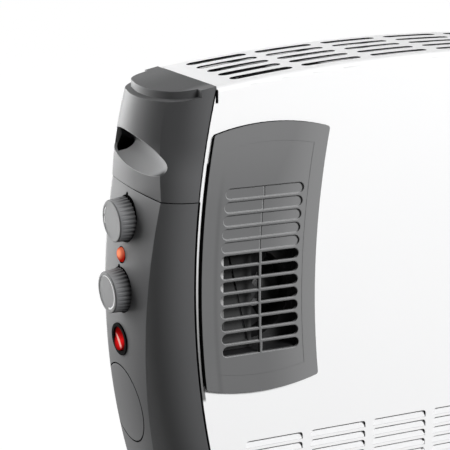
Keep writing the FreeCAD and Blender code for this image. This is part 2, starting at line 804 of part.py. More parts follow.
def cap_section(body, name, height, wall=None, upper=False):
    """A level plan section of a cap; with a wall, the hollow inside that wall.

    The crease between the side and the front facet leans forwards up to the split.
    Above it the facet grows rounder until the crease has gone.
    """
    drawing = sketch(body, name, "XY_Plane", height)
    if upper:
        run = f"(({height}) - split_height) / (top_height - split_height)"
        front = between("crease_front_split", "crease_front_top", run)
        inset = between("crease_inset_split", "crease_inset_top", run)
        bend = between("facet_bend", "facet_bend_top", run)
        flank = f"(1 / {between('1 / side_radius', '1 / side_radius_top', run)})"
        corner = between("cap_corner_radius", "cap_corner_radius_top", run)
        side = upper_face(height)
    else:
        run = f"(({height}) - body_base) / (split_height - body_base)"
        front = between("crease_front_low", "crease_front_split", run)
        inset = between("crease_inset_low", "crease_inset_split", run)
        bend = "facet_bend"
        flank = "side_radius"
        corner = "cap_corner_radius"
        side = face(height)
    edge = f"({seam(height)} + seam_gap)"
    shrink = wall or "0"
    open_x = f"-{edge}" if wall is None else f"-({seam(height)} - plate_inset)"
    points = {
        "front": (open_x, f"{shrink} - front_depth"),
        "crease": (f"{inset} + 0.9 * ({shrink}) - {side}", f"0.6 * ({shrink}) - {front}"),
        "side": (f"{shrink} - {side}", f"rear_depth - {corner}"),
        "corner": (f"{corner} - {side}", f"rear_depth - ({shrink})"),
        "rear": (open_x, f"rear_depth - ({shrink})"),
    }
    spot = {key: Vector(value(x), value(y), 0) for key, (x, y) in points.items()}
    span = [f"(({a}) - ({b}))" for a, b in zip(points["crease"], points["front"])]
    curves = []
    for start, end, radius in (
        ("crease", "front", f"sqrt({span[0]}^2 + {span[1]}^2) / {bend}"),
        ("side", "crease", f"{flank} - ({shrink})"),
        ("corner", "side", f"{corner} - ({shrink})"),
    ):
        chord = spot[end] - spot[start]
        across = Vector(-chord.y, chord.x, 0).normalize()
        drop = math.sqrt(max(value(radius) ** 2 - (chord.Length / 2) ** 2, 0))
        middle = (spot[start] + spot[end]) / 2 + across * drop
        ring = Part.Circle(middle, Vector(0, 0, 1), value(radius))
        angles = [math.atan2(p.y - middle.y, p.x - middle.x) for p in (spot[start], spot[end])]
        curve = drawing.addGeometry(Part.ArcOfCircle(ring, *angles))
        hold(drawing, "Radius", (curve,), radius)
        curves.append(curve)
    facet_arc, side_arc, corner_arc = curves
    back = drawing.addGeometry(Part.LineSegment(spot["corner"], spot["rear"]))
    mouth = drawing.addGeometry(Part.LineSegment(spot["rear"], spot["front"]))
    join(drawing, (facet_arc, 1, side_arc, 2), (side_arc, 1, corner_arc, 2), (corner_arc, 1, back, 1))
    join(drawing, (back, 2, mouth, 1), (mouth, 2, facet_arc, 2))
    pin(drawing, facet_arc, 2, *points["front"])
    pin(drawing, facet_arc, 1, *points["crease"])
    pin(drawing, side_arc, 1, *points["side"])
    pin(drawing, corner_arc, 1, *points["corner"])
    pin(drawing, back, 2, *points["rear"])
    return drawing


def loft(body, sections):
    item = body.newObject("PartDesign::AdditiveLoft", body.Name + "_loft")
    item.Profile = sections[0]
    item.Sections = sections[1:]
    doc.recompute()
    return item


def make_lower_block(name, low, high, wall=None):
    """The lower moulding from its base to the split, solid, or the hollow inside it."""
    body = new_body(name)
    steps = 4
    sections = []
    for step in range(steps + 1):
        height = f"({low} + ({high} - ({low})) * {step} / {steps})"
        sections.append(cap_section(body, f"{name}_{step}", height, wall))
    loft(body, sections)
    return body


def make_upper_block(name, low, high, wall=None):
    """The upper moulding above the split; its front corner grows rounder towards the top."""
    body = new_body(name)
    steps = 3
    sections = []
    for step in range(steps + 1):
        height = f"({low} + ({high} - ({low})) * {step} / {steps})"
        sections.append(cap_section(body, f"{name}_{step}", height, wall, upper=True))
    loft(body, sections)
    return body


def over_arch(name, drop, inner, end):
    """All that lies over the top's arch, or a step below it, beyond an upright plane."""
    body = new_body(name)
    drawing = sketch(body, name + "_side", "XZ_Plane", f"-({end})")
    # The cap's own roof starts level with the sheet at the seam and falls away faster
    start = seam("(top_height - island_depth)")
    sheet = f"top_height - arch_radius + sqrt(arch_radius^2 - {start}^2)"
    centre = ("0", f"{sheet} - sqrt(cap_arch_radius^2 - {start}^2) - ({drop})")
    reaches = (f"-({inner})", "-(end_half_width + fold_radius)")
    ends = []
    for x in reaches:
        ends.append(Vector(value(x), value(f"{centre[1]} + sqrt(cap_arch_radius^2 - ({x})^2)"), 0))
    roof = arc(drawing, centre, "cap_arch_radius", *ends)
    high = "top_height + fold_radius"
    corners = [Vector(end.x, value(high), 0) for end in ends]
    walls = [drawing.addGeometry(Part.LineSegment(a, b)) for a, b in zip(ends, corners)]
    lid = drawing.addGeometry(Part.LineSegment(*corners))
    pin(drawing, roof, 3, *centre)
    hold(drawing, "Radius", (roof,), "cap_arch_radius")
    for index, (wall, x) in enumerate(zip(walls, reaches)):
        join(drawing, (roof, index + 1, wall, 1), (wall, 2, lid, index + 1))
        drawing.addConstraint(Sketcher.Constraint("Vertical", wall))
        hold(drawing, "DistanceX", (-1, 1, wall, 2), x)
    drawing.addConstraint(Sketcher.Constraint("Horizontal", lid))
    hold(drawing, "DistanceY", (-1, 1, lid, 1), high)
    pad(body, drawing, f"{end} + front_depth + fold_radius")
    return body


def past_split(name, low, high):
    """A slab between two distances from the split, which leans to the front and outwards."""
    reach = "2 * end_half_width"
    slab = box(name + "_slab", (f"-{reach}", f"-{reach}", low), (reach, reach, high))
    corner = f"vector(-{seam('split_height')}; -front_depth; split_height)"
    item = group(name, slab)
    tie(item, "Placement", f"placement({corner}; rotation(0; -split_pitch; split_roll))")
    return item


def make_handle_block():
    """The handle cap's outside, arched on top, on the leaning split below."""
    block = make_upper_block("handle_block", "split_height - split_fall", "top_height")
    sky = over_arch("sky", "0", "plate_inset", "rear_depth + fold_radius")
    return cut("handle_arched", block, sky, past_split("handle_foot", "-end_half_width", "split_gap"))


def make_ledge():
    """What the step round the top takes away: a block, less the island that stays inside it."""
    island = new_body("island")
    profile = cap_section(island, "island_plan", "(top_height - island_depth)", "ledge_width", upper=True)
    pad(island, profile, "island_depth")
    inner = f"{seam('(top_height - island_depth)')} + post_front"
    return cut("ledge", over_arch("ledge_block", "ledge_drop", inner, "rear_depth + fold_radius"), island)


def scoop(name, grow, end):
    """The finger grip: an ellipsoid let into the side, lower at its front end and cut off behind."""
    item = doc.addObject("Part::Ellipsoid", name)
    tie(item, "Radius1", f"scoop_half_height + {grow}")
    tie(item, "Radius2", f"scoop_reach + {grow}")
    tie(item, "Radius3", f"scoop_half_length + {grow}")
    item.Placement = Placement(Vector(), Rotation(Vector(1, 0, 0), 1))
    tie(item, "Placement.Rotation.Angle", "scoop_tilt")
    place(item, f"-{upper_face('scoop_height')}", "scoop_middle", "scoop_height")
    low = ("-2 * end_half_width", "-2 * front_depth", "body_base")
    return common(name + "_room", item, box(name + "_limit", low, ("0", end, "2 * top_height")))


def screw_holes(name, x, heights, radius):
    """Rear screw holes through an end cap and the flange behind its wall."""
    holes = []
    for index, height in enumerate(heights):
        start = (f"-({seam(height)} + {x})", "rear_depth - screw_length", height)
        holes.append(cylinder(f"{name}_{index}", "y", start, radius, "2 * screw_length"))
    return holes


CAP_SCREW_INSET = "plate_flange / 2"
LOWER_SCREWS = ("(body_base + 60)", "(split_height - 32)")
UPPER_SCREWS = ("(split_height + 18)",)
SCREW_HOLE = "screw_radius + screw_clearance"


def make_handle_cap():
    block = make_handle_block()
    ends = ("split_height - split_fall - split_gap", "(top_height - handle_roof)")
    hollow = make_upper_block("handle_hollow", *ends, "cap_wall")
    room = cut("handle_room", hollow, scoop("grip_wall", "cap_wall", "scoop_end - scoop_mouth"))
    shell = cut("handle_shell", block, room)
    holes = screw_holes("handle_hole", CAP_SCREW_INSET, UPPER_SCREWS, SCREW_HOLE)
    return cut("handle_cap", shell, make_ledge(), scoop("grip", "0", "scoop_end"), *holes)


# Controls: each is drawn about its own axis, -X outwards from the control face, then set in place

# The lamp and the switch sit a little behind the line of the two knobs
OFFSETS = {"lamp_height": "lamp_offset", "rocker_height": "rocker_offset"}


def control_place(item, height, shift="0"):
    x = f"{shift} - ({face(height)} - face_set_back)"
    y = f"control_line + control_lean * (selector_height - {height}) + {OFFSETS.get(height, '0')}"
    spot = f"vector({x}; {y}; {height})"
    tie(item, "Placement", f"placement({spot}; rotation(control_turn; -control_drop; 0))")
    return item


def control_node(item, label, height):
    """Names a finished piece that stands on a control's axis."""
    item.Label = label
    nodes.append(item)
    return control_place(item, height, CENTRE_SHIFT)


def disc(name, radius, start, end):
    """A round about a control's axis between two depths."""
    return cylinder(name, "x", (start, "0", "0"), radius, f"{end} - ({start})")


OUTSIDE = "-2 * knob_stand"
INSIDE = "2 * selector_depth"


def make_control_panel(shell, block):
    """The lower left moulding: bosses behind, and the seats and holes of the controls."""
    bosses = []
    cuts = []
    for name, height in (("selector", "selector_height"), ("thermostat", "thermostat_height")):
        boss = group(f"{name}_boss", disc(f"{name}_boss_disc", "boss_radius", OUTSIDE, "boss_depth"))
        bosses.append(control_place(boss, height))
        wide, deep = "knob_base_radius + knob_recess_gap", "knob_sink + knob_recess_gap"
        recess = disc(f"{name}_recess", wide, OUTSIDE, deep)
        hole = disc(f"{name}_hole", "panel_hole_radius", OUTSIDE, INSIDE)
        cuts.append(control_place(fuse(f"{name}_seat", recess, hole), height))
    boss = disc("rocker_boss_disc", "bezel_radius + cap_wall", OUTSIDE, "bezel_seat + cap_wall")
    boss = group("rocker_boss", boss)
    bosses.append(control_place(boss, "rocker_height"))
    seat = disc("rocker_seat_disc", "bezel_radius + screw_clearance", OUTSIDE, "bezel_seat")
    hole = disc("rocker_hole", "barrel_radius + screw_clearance", OUTSIDE, INSIDE)
    cuts.append(control_place(fuse("rocker_seat", seat, hole), "rocker_height"))
    boss = group("lamp_boss", disc("lamp_boss_disc", "lamp_flange_radius + cap_wall", OUTSIDE, "lamp_seat"))
    bosses.append(control_place(boss, "lamp_height"))
    hole = group("lamp_hole", disc("lamp_hole_disc", "lamp_radius + lamp_clearance", OUTSIDE, INSIDE))
    cuts.append(control_place(hole, "lamp_height"))
    height = "blank_height"
    seat = (f"-({face(height)} + fold_radius)", "blank_line", height)
    cuts.append(cylinder("blank_hole", "x", seat, "blank_radius", "end_half_width / 6"))
    cuts += screw_holes("control_hole", CAP_SCREW_INSET, LOWER_SCREWS, SCREW_HOLE)
    start = (f"-({seam('gland_height')} + {CAP_SCREW_INSET})", "rear_depth - screw_length", "gland_height")
    cuts.append(cylinder("gland_hole", "y", start, "gland_radius", "2 * screw_length"))
    inside = common("bosses_inside", fuse("control_bosses", *bosses), block)
    return cut("control_panel", fuse("control_blank", shell, inside), *cuts)


def make_blank_cover(shell):
    """Round cover cut to the same curved wall, in the place of a timer."""
    height = "blank_height"
    start = (f"-({face(height)} + fold_radius)", "blank_line", height)
    plug = cylinder("blank_plug", "x", start, "blank_radius - blank_gap", "end_half_width / 6")
    return common("blank_cover", shell, plug)


# Turbo grille: bowed plate with blind slots above and open slots below

def grille_outline(drawing, shrink):
    left_reach = f"seam_bow_radius - seam_half_width + grille_inset + ({shrink})"
    right_reach = f"seam_bow_radius - grille_right - ({shrink})"
    radius = "seam_bow_radius"
    high = f"grille_top - ({shrink})"
    low = f"grille_bottom + {shrink}"

    def edge_x(reach, level):
        return value(f"{reach} - sqrt({radius}^2 - ({level} - bow_height)^2)")

    corner = {}
    for name, reach in (("left", left_reach), ("right", right_reach)):
        corner[name, "high"] = Vector(edge_x(reach, high), value(high), 0)
        corner[name, "low"] = Vector(edge_x(reach, low), value(low), 0)
    left = arc(drawing, (left_reach, "bow_height"), radius, corner["left", "high"], corner["left", "low"])
    right_ends = [corner["right", "high"], corner["right", "low"]]
    right = arc(drawing, (right_reach, "bow_height"), radius, *right_ends)
    for index, reach in ((left, left_reach), (right, right_reach)):
        pin(drawing, index, 3, reach, "bow_height")
        hold(drawing, "Radius", (index,), radius)
        hold(drawing, "DistanceY", (-1, 1, index, 1), high)
        hold(drawing, "DistanceY", (-1, 1, index, 2), low)
    for level, end, side in (("high", 1, 1), ("low", 2, -1)):
        start, finish = corner["right", level], corner["left", level]
        if side < 0:
            start, finish = finish, start
        chord = finish - start
        across = Vector(-chord.y, chord.x, 0).normalize()
        drop = math.sqrt(value("grille_edge_radius") ** 2 - (chord.Length / 2) ** 2)
        middle = (start + finish) / 2 + across * drop
        ring = Part.Circle(middle, Vector(0, 0, 1), value("grille_edge_radius"))
        angles = [math.atan2(p.y - middle.y, p.x - middle.x) for p in (start, finish)]
        curve = drawing.addGeometry(Part.ArcOfCircle(ring, *angles))
        hold(drawing, "Radius", (curve,), "grille_edge_radius")
        ends = ((right, end), (left, end)) if side > 0 else ((left, end), (right, end))
        join(drawing, (curve, 1, *ends[0]), (curve, 2, *ends[1]))


def make_turbo_grille():
    body = new_body("turbo_grille")
    outline = sketch(body, "grille_outline", "XZ_Plane", "front_depth")
    grille_outline(outline, "0")
    pad(body, outline, "grille_proud")
    fillet(body, "grille_corner", lambda edge: edge.BoundBox.XLength + edge.BoundBox.ZLength < 0.01)
    hollow = sketch(body, "grille_hollow", "XZ_Plane", "front_depth")
    grille_outline(hollow, "grille_rim")
    pocket(body, hollow, "grille_proud - grille_face", reverse=True)
    step = sketch(body, "grille_step_field", "XZ_Plane", "front_depth + grille_proud")
    grille_outline(step, "grille_step_inset")
    pocket(body, step, "grille_step")
    # Each row of slots steps sideways with the bow of the plate
    rows = value("grille_blind_rows + grille_open_rows")
    blind = sketch(body, "blind_slots", "XZ_Plane", "front_depth + grille_proud")
    open_slots = sketch(body, "open_slots", "XZ_Plane", "front_depth + grille_proud")
    joints = sketch(body, "blind_joints", "XZ_Plane", "front_depth + grille_proud")
    for row in range(int(rows)):
        level = f"(grille_slot_top - {row} * grille_slot_pitch)"
        middle = f"-(grille_middle - {bow('seam_bow_radius', level)})"
        if row < value("grille_blind_rows"):
            slot(blind, middle, level, "grille_slot_length", "grille_slot_height")
            sides = [f"{middle} + {side} * grille_joint / 2" for side in (-1, 1)]
            ends = [f"{level} + {side} * grille_slot_height / 2" for side in (-1, 1)]
            rectangle(joints, *sides, *ends)
            continue
        half = "(grille_slot_length - grille_rib) / 2"
        for side in (-1, 1):
            centre = f"{middle} + {side} * (grille_slot_length + grille_rib) / 4"
            half_slot(open_slots, centre, level, half, "grille_slot_height", side)
    pocket(body, blind, "grille_blind_depth")
    pocket(body, joints, "grille_blind_depth + grille_joint_depth")
    pocket(body, open_slots, "grille_proud")
    return body


def half_slot(drawing, x, y, length, width, side):
    """A slot that is round at its outer end and square where the rib stands."""
    half = f"({width}) / 2"
    outer_x = f"({x}) + {side} * ({length} - ({width})) / 2"
    inner_x = f"({x}) - {side} * ({length}) / 2"
    middle = Vector(value(outer_x), value(y), 0)
    ring = Part.Circle(middle, Vector(0, 0, 1), value(half))
    start = -side * math.pi / 2
    end = drawing.addGeometry(Part.ArcOfCircle(ring, start, start + math.pi))
    first = Vector(middle.x, middle.y - side * value(half), 0)
    last = Vector(middle.x, middle.y + side * value(half), 0)
    back = [Vector(value(inner_x), spot.y, 0) for spot in (first, last)]
    edges = [drawing.addGeometry(Part.LineSegment(a, b)) for a, b in zip((first, last), back)]
    stop = drawing.addGeometry(Part.LineSegment(*back))
    for index, edge in enumerate(edges):
        drawing.addConstraint(Sketcher.Constraint("Tangent", end, index + 1, edge, 1))
        join(drawing, (edge, 2, stop, index + 1))
    drawing.addConstraint(Sketcher.Constraint("Vertical", stop))
    pin(drawing, end, 3, outer_x, y)
    hold(drawing, "Radius", (end,), half)
    hold(drawing, "DistanceX", (-1, 1, stop, 1), inner_x)


# Knobs: turned profile about the shaft, hollow inside, with flutes round the skirt

def make_knob(name, height):
    body = new_body(name)
    profile = sketch(body, name + "_profile", "XZ_Plane")
    top = "knob_dish - knob_stand"
    inner = f"knob_wall + {top}"
    base = "knob_sink"
    polygon(profile, (
        (top, "0"),
        (top, "knob_dish_radius"),
        ("-knob_stand", "knob_dish_radius + knob_dish"),
        ("-knob_stand", "knob_face_radius - knob_bevel"),
        ("knob_bevel - knob_stand", "knob_face_radius"),
        (base, "knob_base_radius"),
        (base, "knob_base_radius - knob_wall"),
        (inner, "knob_face_radius - knob_wall"),
        (inner, "knob_hub_radius"),
        (base, "knob_hub_radius"),
        (base, "shaft_radius + shaft_clearance"),
        (inner, "shaft_radius + shaft_clearance"),
        (inner, "0"),
    ))
    revolve(body, profile)
    flute = sketch(body, name + "_flute", "YZ_Plane", "2 * knob_bevel - knob_stand")
    circle(flute, "knob_base_radius + flute_radius / 5", "0", "flute_radius")
    feature = pocket(body, flute, "2 * knob_stand", reverse=True)
    ring = body.newObject("PartDesign::PolarPattern", name + "_flutes")
    ring.Originals = [feature]
    ring.Axis = (profile, ["H_Axis"])
    ring.Angle = 360
    tie(ring, "Occurrences", "flute_count")
    body.Tip = ring
    doc.recompute()
    return control_node(body, name, height)


def revolve(body, profile):
    """Turns a half profile about a control's axis."""
    item = body.newObject("PartDesign::Revolution", body.Name + "_turn")
    item.Profile = profile
    item.ReferenceAxis = (profile, ["H_Axis"])
    item.Angle = 360
    doc.recompute()


def make_shaft(name, height):
    end = "boss_depth + shaft_bore_depth - 1"
    shaft = disc(name + "_rod", "shaft_radius", "knob_sink - shaft_grip", end)
    return control_node(group(name, shaft), name, height)


def shaft_bore(name):
    return disc(name, "shaft_radius + shaft_clearance", "0", "boss_depth + shaft_bore_depth")


def make_selector_body():
    back = "boss_depth + selector_depth"
    drum = disc("selector_drum", "selector_radius", "boss_depth", back)
    tag = "selector_radius / 5"
    tags = []
    for index, side in enumerate((-1, 0, 1)):
        middle = f"{side} * selector_radius / 2"
        low = (back, f"{middle} - {tag} / 2", f"-{tag}")
        high = (f"{back} + 2 * {tag}", f"{middle} + {tag} / 2", tag)
        tags.append(box(f"selector_tag_{index}", low, high))
    solid = fuse("selector_solid", drum, *tags)
    item = cut("selector_switch", solid, shaft_bore("selector_bore"))
    return control_node(item, "selector_switch", "selector_height")


def make_thermostat_body():
    back = "boss_depth + thermostat_depth"
    low = ("boss_depth", "-thermostat_width / 2", "-thermostat_tall / 2")
    block = box("thermostat_block", low, (back, "thermostat_width / 2", "thermostat_tall / 2"))
    capsule = disc("thermostat_capsule", "thermostat_tall / 3", back, f"{back} + thermostat_depth / 3")
    solid = fuse("thermostat_solid", block, capsule)
    item = cut("thermostat", solid, shaft_bore("thermostat_bore"))
    return control_node(item, "thermostat", "thermostat_height")


# Pilot lamp: domed lens through the panel, clipped against a flange, with its holder behind

def make_pilot_lens():
    body = new_body("pilot_lens")
    profile = sketch(body, "lens_profile", "XZ_Plane")
    polygon(profile, (
        ("-lamp_dome", "0"),
        ("-lamp_dome * 0.97", "lamp_radius * 0.25"),
        ("-lamp_dome * 0.87", "lamp_radius * 0.5"),
        ("-lamp_dome * 0.66", "lamp_radius * 0.75"),
        ("-lamp_dome * 0.37", "lamp_radius * 0.93"),
        ("0", "lamp_radius"),
        ("lamp_seat", "lamp_radius"),
        ("lamp_seat", "lamp_flange_radius"),
        ("lamp_seat + cap_wall", "lamp_flange_radius"),
        ("lamp_seat + cap_wall", "0"),
    ))
    revolve(body, profile)
    return control_node(body, "pilot_lens", "lamp_height")


def make_lamp_holder():
    back = "lamp_seat + cap_wall"
    rod = disc("lamp_holder_rod", "lamp_radius", back, f"{back} + lamp_body_depth")
    return control_node(group("lamp_holder", rod), "pilot_lamp_holder", "lamp_height")


# Rocker switch: round bezel with its barrel, and a paddle on cross pins

def make_switch_body():
    flange = disc("bezel_flange", "bezel_radius", "-bezel_proud", "bezel_seat")
    barrel = disc("bezel_barrel", "barrel_radius", "-bezel_proud", "barrel_depth - bezel_proud")
    well = disc("rocker_well", "rocker_well_radius", OUTSIDE, "rocker_well_depth - bezel_proud")
    where = ("rocker_pivot_depth - bezel_proud", "-bezel_radius", "0")
    hole = cylinder("pin_hole", "y", where, "rocker_pin_radius + shaft_clearance", "2 * bezel_radius")
    solid = fuse("switch_solid", flange, barrel)
    item = cut("turbo_switch_body", solid, well, hole)
    return control_node(item, "turbo_switch_body", "rocker_height")


def make_rocker():
    body = new_body("rocker_profile")
    profile = sketch(body, "rocker_side", "XZ_Plane", "-rocker_radius")
    polygon(profile, (
        ("-rocker_valley", "0"),
        ("-rocker_tip", "-rocker_radius"),
        ("0", "-rocker_radius"),
        ("rocker_back", "-rocker_back_half"),
        ("rocker_back", "rocker_back_half"),
        ("0", "rocker_radius"),
        ("-rocker_tip", "rocker_radius"),
    ))
    pad(body, profile, "2 * rocker_radius")
    rim = disc("rocker_disc", "rocker_radius", "-2 * rocker_tip", "2 * rocker_tip")
    paddle = common("rocker_paddle", body, rim)
    where = ("0", "-rocker_pin_reach", "0")
    pins = cylinder("rocker_pins", "y", where, "rocker_pin_radius", "2 * rocker_pin_reach")
    tilted = fuse("rocker_tilted", paddle, pins)
    pivot = "vector(rocker_pivot_depth - bezel_proud; 0; 0)"
    tie(tilted, "Placement", f"placement({pivot}; rotation(0; rocker_tilt; 0))")
    return control_node(group("turbo_rocker", tilted), "turbo_rocker", "rocker_height")


# Turbo fan: twisted blades on a hub, in a shroud whose spider carries the motor

def blade_section(radius, chord, pitch, thickness):
    """A thin bent blade profile square to the radius, as one closed wire."""
    lean = math.radians(pitch)
    along = Vector(0, math.sin(lean), math.cos(lean))
    across = Vector(0, math.cos(lean), -math.sin(lean))
    out = Vector(radius, 0, 0)
    camber = chord / 12
    tips = [out - along * (chord / 2), out + along * (chord / 2)]
    lower = Part.Arc(tips[0], out + across * camber, tips[1]).toShape()
    lifted = [tip + across * thickness for tip in tips]
    upper = Part.Arc(lifted[1], out + across * (camber + thickness), lifted[0]).toShape()
    sides = [Part.makeLine(tips[1], lifted[1]), Part.makeLine(lifted[0], tips[0])]
    return Part.Wire([lower, sides[0], upper, sides[1]])


def make_impeller():
    hub_length = value("fan_hub_length")
    hub_radius = value("fan_hub_radius")
    thickness = value("fan_blade_thickness")
    sizes = [value(f"fan_{end}_{size}") for end in ("root", "tip") for size in ("chord", "pitch")]
    root = blade_section(hub_radius - 2 * thickness, *sizes[:2], thickness)
    tip = blade_section(value("fan_tip_radius"), *sizes[2:], thickness)
    blade = Part.makeLoft([root, tip], True, True)
    axis = Vector(0, 1, 0)
    limit = Part.makeCylinder(value("fan_tip_radius"), 2 * hub_length, axis * -hub_length, axis)
    blade = blade.common(limit)
    start = Vector(0, -hub_length / 2, 0)
    hub = Part.makeCylinder(hub_radius, hub_length, start, Vector(0, 1, 0))
    count = int(value("fan_blades"))
    blades = []
    for turn in range(count):
        copy = blade.copy()
        copy.rotate(Vector(), Vector(0, 1, 0), 360 * turn / count)
        blades.append(copy)
    bore_radius = value("fan_shaft_radius + shaft_clearance / 2")
    bore = Part.makeCylinder(bore_radius, hub_length, start + Vector(0, 2 * thickness, 0), Vector(0, 1, 0))
    item = doc.addObject("Part::Feature", "fan_impeller")
    item.Shape = hub.fuse(blades).cut(bore).removeSplitter()
    return node(item, "fan_impeller", f"-{FAN_MIDDLE}", "fan_hub_length / 2 - fan_front", FAN_HEIGHT)


def make_fan_shaft():
    start = (f"-{FAN_MIDDLE}", "2 * fan_blade_thickness - fan_front + shaft_clearance", FAN_HEIGHT)
    length = f"fan_front - 2 * fan_blade_thickness + {SPIDER_BACK} + motor_length"
    item = cylinder("fan_shaft", "y", start, "fan_shaft_radius", length)
    return node(item, "fan_shaft", *start)


SPIDER_BACK = "(shroud_length + sheet_thickness - front_depth)"


def make_shroud():
    """A square duct behind the window, then a round tube about the fan with a spider for the motor."""
    x, z = f"-{FAN_MIDDLE}", FAN_HEIGHT
    front = "(sheet_thickness - front_depth)"
    neck = f"({front} + duct_length)"
    low = (f"{x} - shroud_half", front, f"{z} - shroud_half")
    high = (f"{x} + shroud_half", neck, f"{z} + shroud_half")
    duct = box("duct_block", low, high)
    low = (f"{x} - shroud_half + shroud_wall", f"{front} - 1", f"{z} - shroud_half + shroud_wall")
    high = (f"{x} + shroud_half - shroud_wall", f"{neck} - shroud_wall", f"{z} + shroud_half - shroud_wall")
    room = box("duct_room", low, high)
    length = "shroud_length - duct_length + shroud_wall"
    tube = cylinder("shroud_tube", "y", (x, f"{neck} - shroud_wall", z), "shroud_bore + shroud_wall", length)
    bore = cylinder("shroud_bore_cut", "y", (x, front, z), "shroud_bore", "2 * shroud_length")
    ring = cut("shroud_ring", fuse("shroud_outer", duct, tube), room, bore)
    back = f"{SPIDER_BACK} - spider_thickness"
    arms = []
    reach = "(shroud_bore + shroud_wall / 2)"
    for name, wide, tall in (("level", reach, "spider_arm / 2"), ("upright", "spider_arm / 2", reach)):
        low = (f"{x} - {wide}", back, f"{z} - {tall}")
        high = (f"{x} + {wide}", SPIDER_BACK, f"{z} + {tall}")
        arms.append(box(f"spider_{name}", low, high))
    disc_solid = cylinder("spider_disc_solid", "y", (x, back, z), "spider_disc", "spider_thickness")
    start = (x, f"{back} - spider_thickness", z)
    eye = cylinder("spider_eye", "y", start, "2 * fan_shaft_radius", "3 * spider_thickness")
    return node(cut("fan_shroud", fuse("shroud_spider", ring, disc_solid, *arms), eye), "fan_shroud")


def make_air_guide():
    """The wall behind the left half of the open slots, in two parts with a slanted joint."""
    body = new_body("guide_wall")
    depth = "guide_depth + sheet_thickness"
    wall = sketch(body, "guide_outline", "XZ_Plane", f"front_depth - ({depth})")
    middle = f"(-{FAN_MIDDLE})"
    half = "(shroud_half - shroud_wall - guide_clearance)"
    rectangle(wall, f"{middle} - {half}", middle, f"{FAN_HEIGHT} - {half}", f"{FAN_HEIGHT} + {half}")
    pad(body, wall, "guide_thickness", reverse=True)
    slit = sketch(body, "guide_slit", "XZ_Plane", f"front_depth - ({depth})")
    high = f"{FAN_HEIGHT} + {half} - guide_joint"
    low = f"{FAN_HEIGHT} - {half} + guide_joint"
    top = f"{middle} - guide_joint_top"
    foot = f"{top} + 2 * {half} * tan(guide_joint_lean * 1deg)"
    corners = ((foot, low), (f"{foot} + guide_joint", low), (f"{top} + guide_joint", high), (top, high))
    polygon(slit, corners)
    pocket(body, slit, "3 * guide_thickness")
    return node(body, "air_guide")


def make_motor():
    x, z = f"-{FAN_MIDDLE}", FAN_HEIGHT
    core_low = (f"{x} - motor_half_width", SPIDER_BACK, f"{z} - motor_half_height")
    core_high = (f"{x} + motor_half_width", f"{SPIDER_BACK} + motor_length", f"{z} + motor_half_height")
    core = box("motor_core", core_low, core_high)
    drop = "motor_half_height + coil_drop"
    coil_low = (f"{x} - coil_half_width", f"{SPIDER_BACK} + 1", f"{z} - ({drop})")
    coil_high = (f"{x} + coil_half_width", f"{SPIDER_BACK} + motor_length + 6", f"{z} - motor_half_height")
    coil = box("motor_coil", coil_low, coil_high)
    start = (x, f"{SPIDER_BACK} - spider_thickness", z)
    bore = cylinder("motor_bore", "y", start, "fan_shaft_radius + shaft_clearance", "3 * motor_length")
    return node(cut("fan_motor", fuse("motor_solid", core, coil), bore), "fan_motor")


# Heating elements: finned bars on pins, in ceramic bushes, between two sheet brackets

def element_line(side):
    return f"({side} * element_spacing / 2)"


BRACKET_PLACE = "(element_half_length + bracket_gap)"


def make_element(name, side):
    y = element_line(side)
    reach = "element_half_length + element_pin_reach"
    where = ("-element_half_length", y, "element_height")
    core = cylinder(f"{name}_core", "x", where, "element_core_radius", "2 * element_half_length")
    pin_where = (f"-({reach})", y, "element_height")
    rod = cylinder(f"{name}_rod", "x", pin_where, "element_pin_radius", f"2 * ({reach})")
    blades = []
    for index, lean in enumerate((-1, 1)):
        blade = doc.addObject("Part::Box", f"{name}_blade_{index}")
        tie(blade, "Length", "2 * element_half_length")
        tie(blade, "Width", "element_blade_thickness")
        tie(blade, "Height", "element_blade")
        turn = value("element_blade_angle") * lean
        blade.Placement = Placement(Vector(), Rotation(Vector(1, 0, 0), turn))
        tie(blade, "Placement.Rotation.Angle", "element_blade_angle")
        blade.Placement.Rotation.Axis = Vector(lean, 0, 0)
        swing_y = f"{lean} * element_blade / 2 * sin(element_blade_angle * 1deg)"
        swing_z = "element_blade / 2 * cos(element_blade_angle * 1deg)"
        thick_y = "element_blade_thickness / 2 * cos(element_blade_angle * 1deg)"
        thick_z = f"{lean} * element_blade_thickness / 2 * sin(element_blade_angle * 1deg)"
        where = (f"{y} + {swing_y} - {thick_y}", f"element_height - {swing_z} - {thick_z}")
        place(blade, "-element_half_length", *where)
        blades.append(blade)
    return node(fuse(name, core, rod, *blades), name)


def make_bushes():
    rings = []
    for end in (-1, 1):
        for side in (-1, 1):
            x = f"{end} * {BRACKET_PLACE} - bush_length / 2"
            where = (x, element_line(side), "element_height")
            name = f"bush_{len(rings)}"
            ring = cylinder(name + "_ring", "x", where, "bush_radius", "bush_length")
            hole_where = (f"{x} - bush_length", where[1], where[2])
            wide = "element_pin_radius + shaft_clearance"
            hole = cylinder(name + "_hole", "x", hole_where, wide, "3 * bush_length")
            rings.append(cut(name, ring, hole))
    return node(group("element_bushes", *rings), "element_bushes")


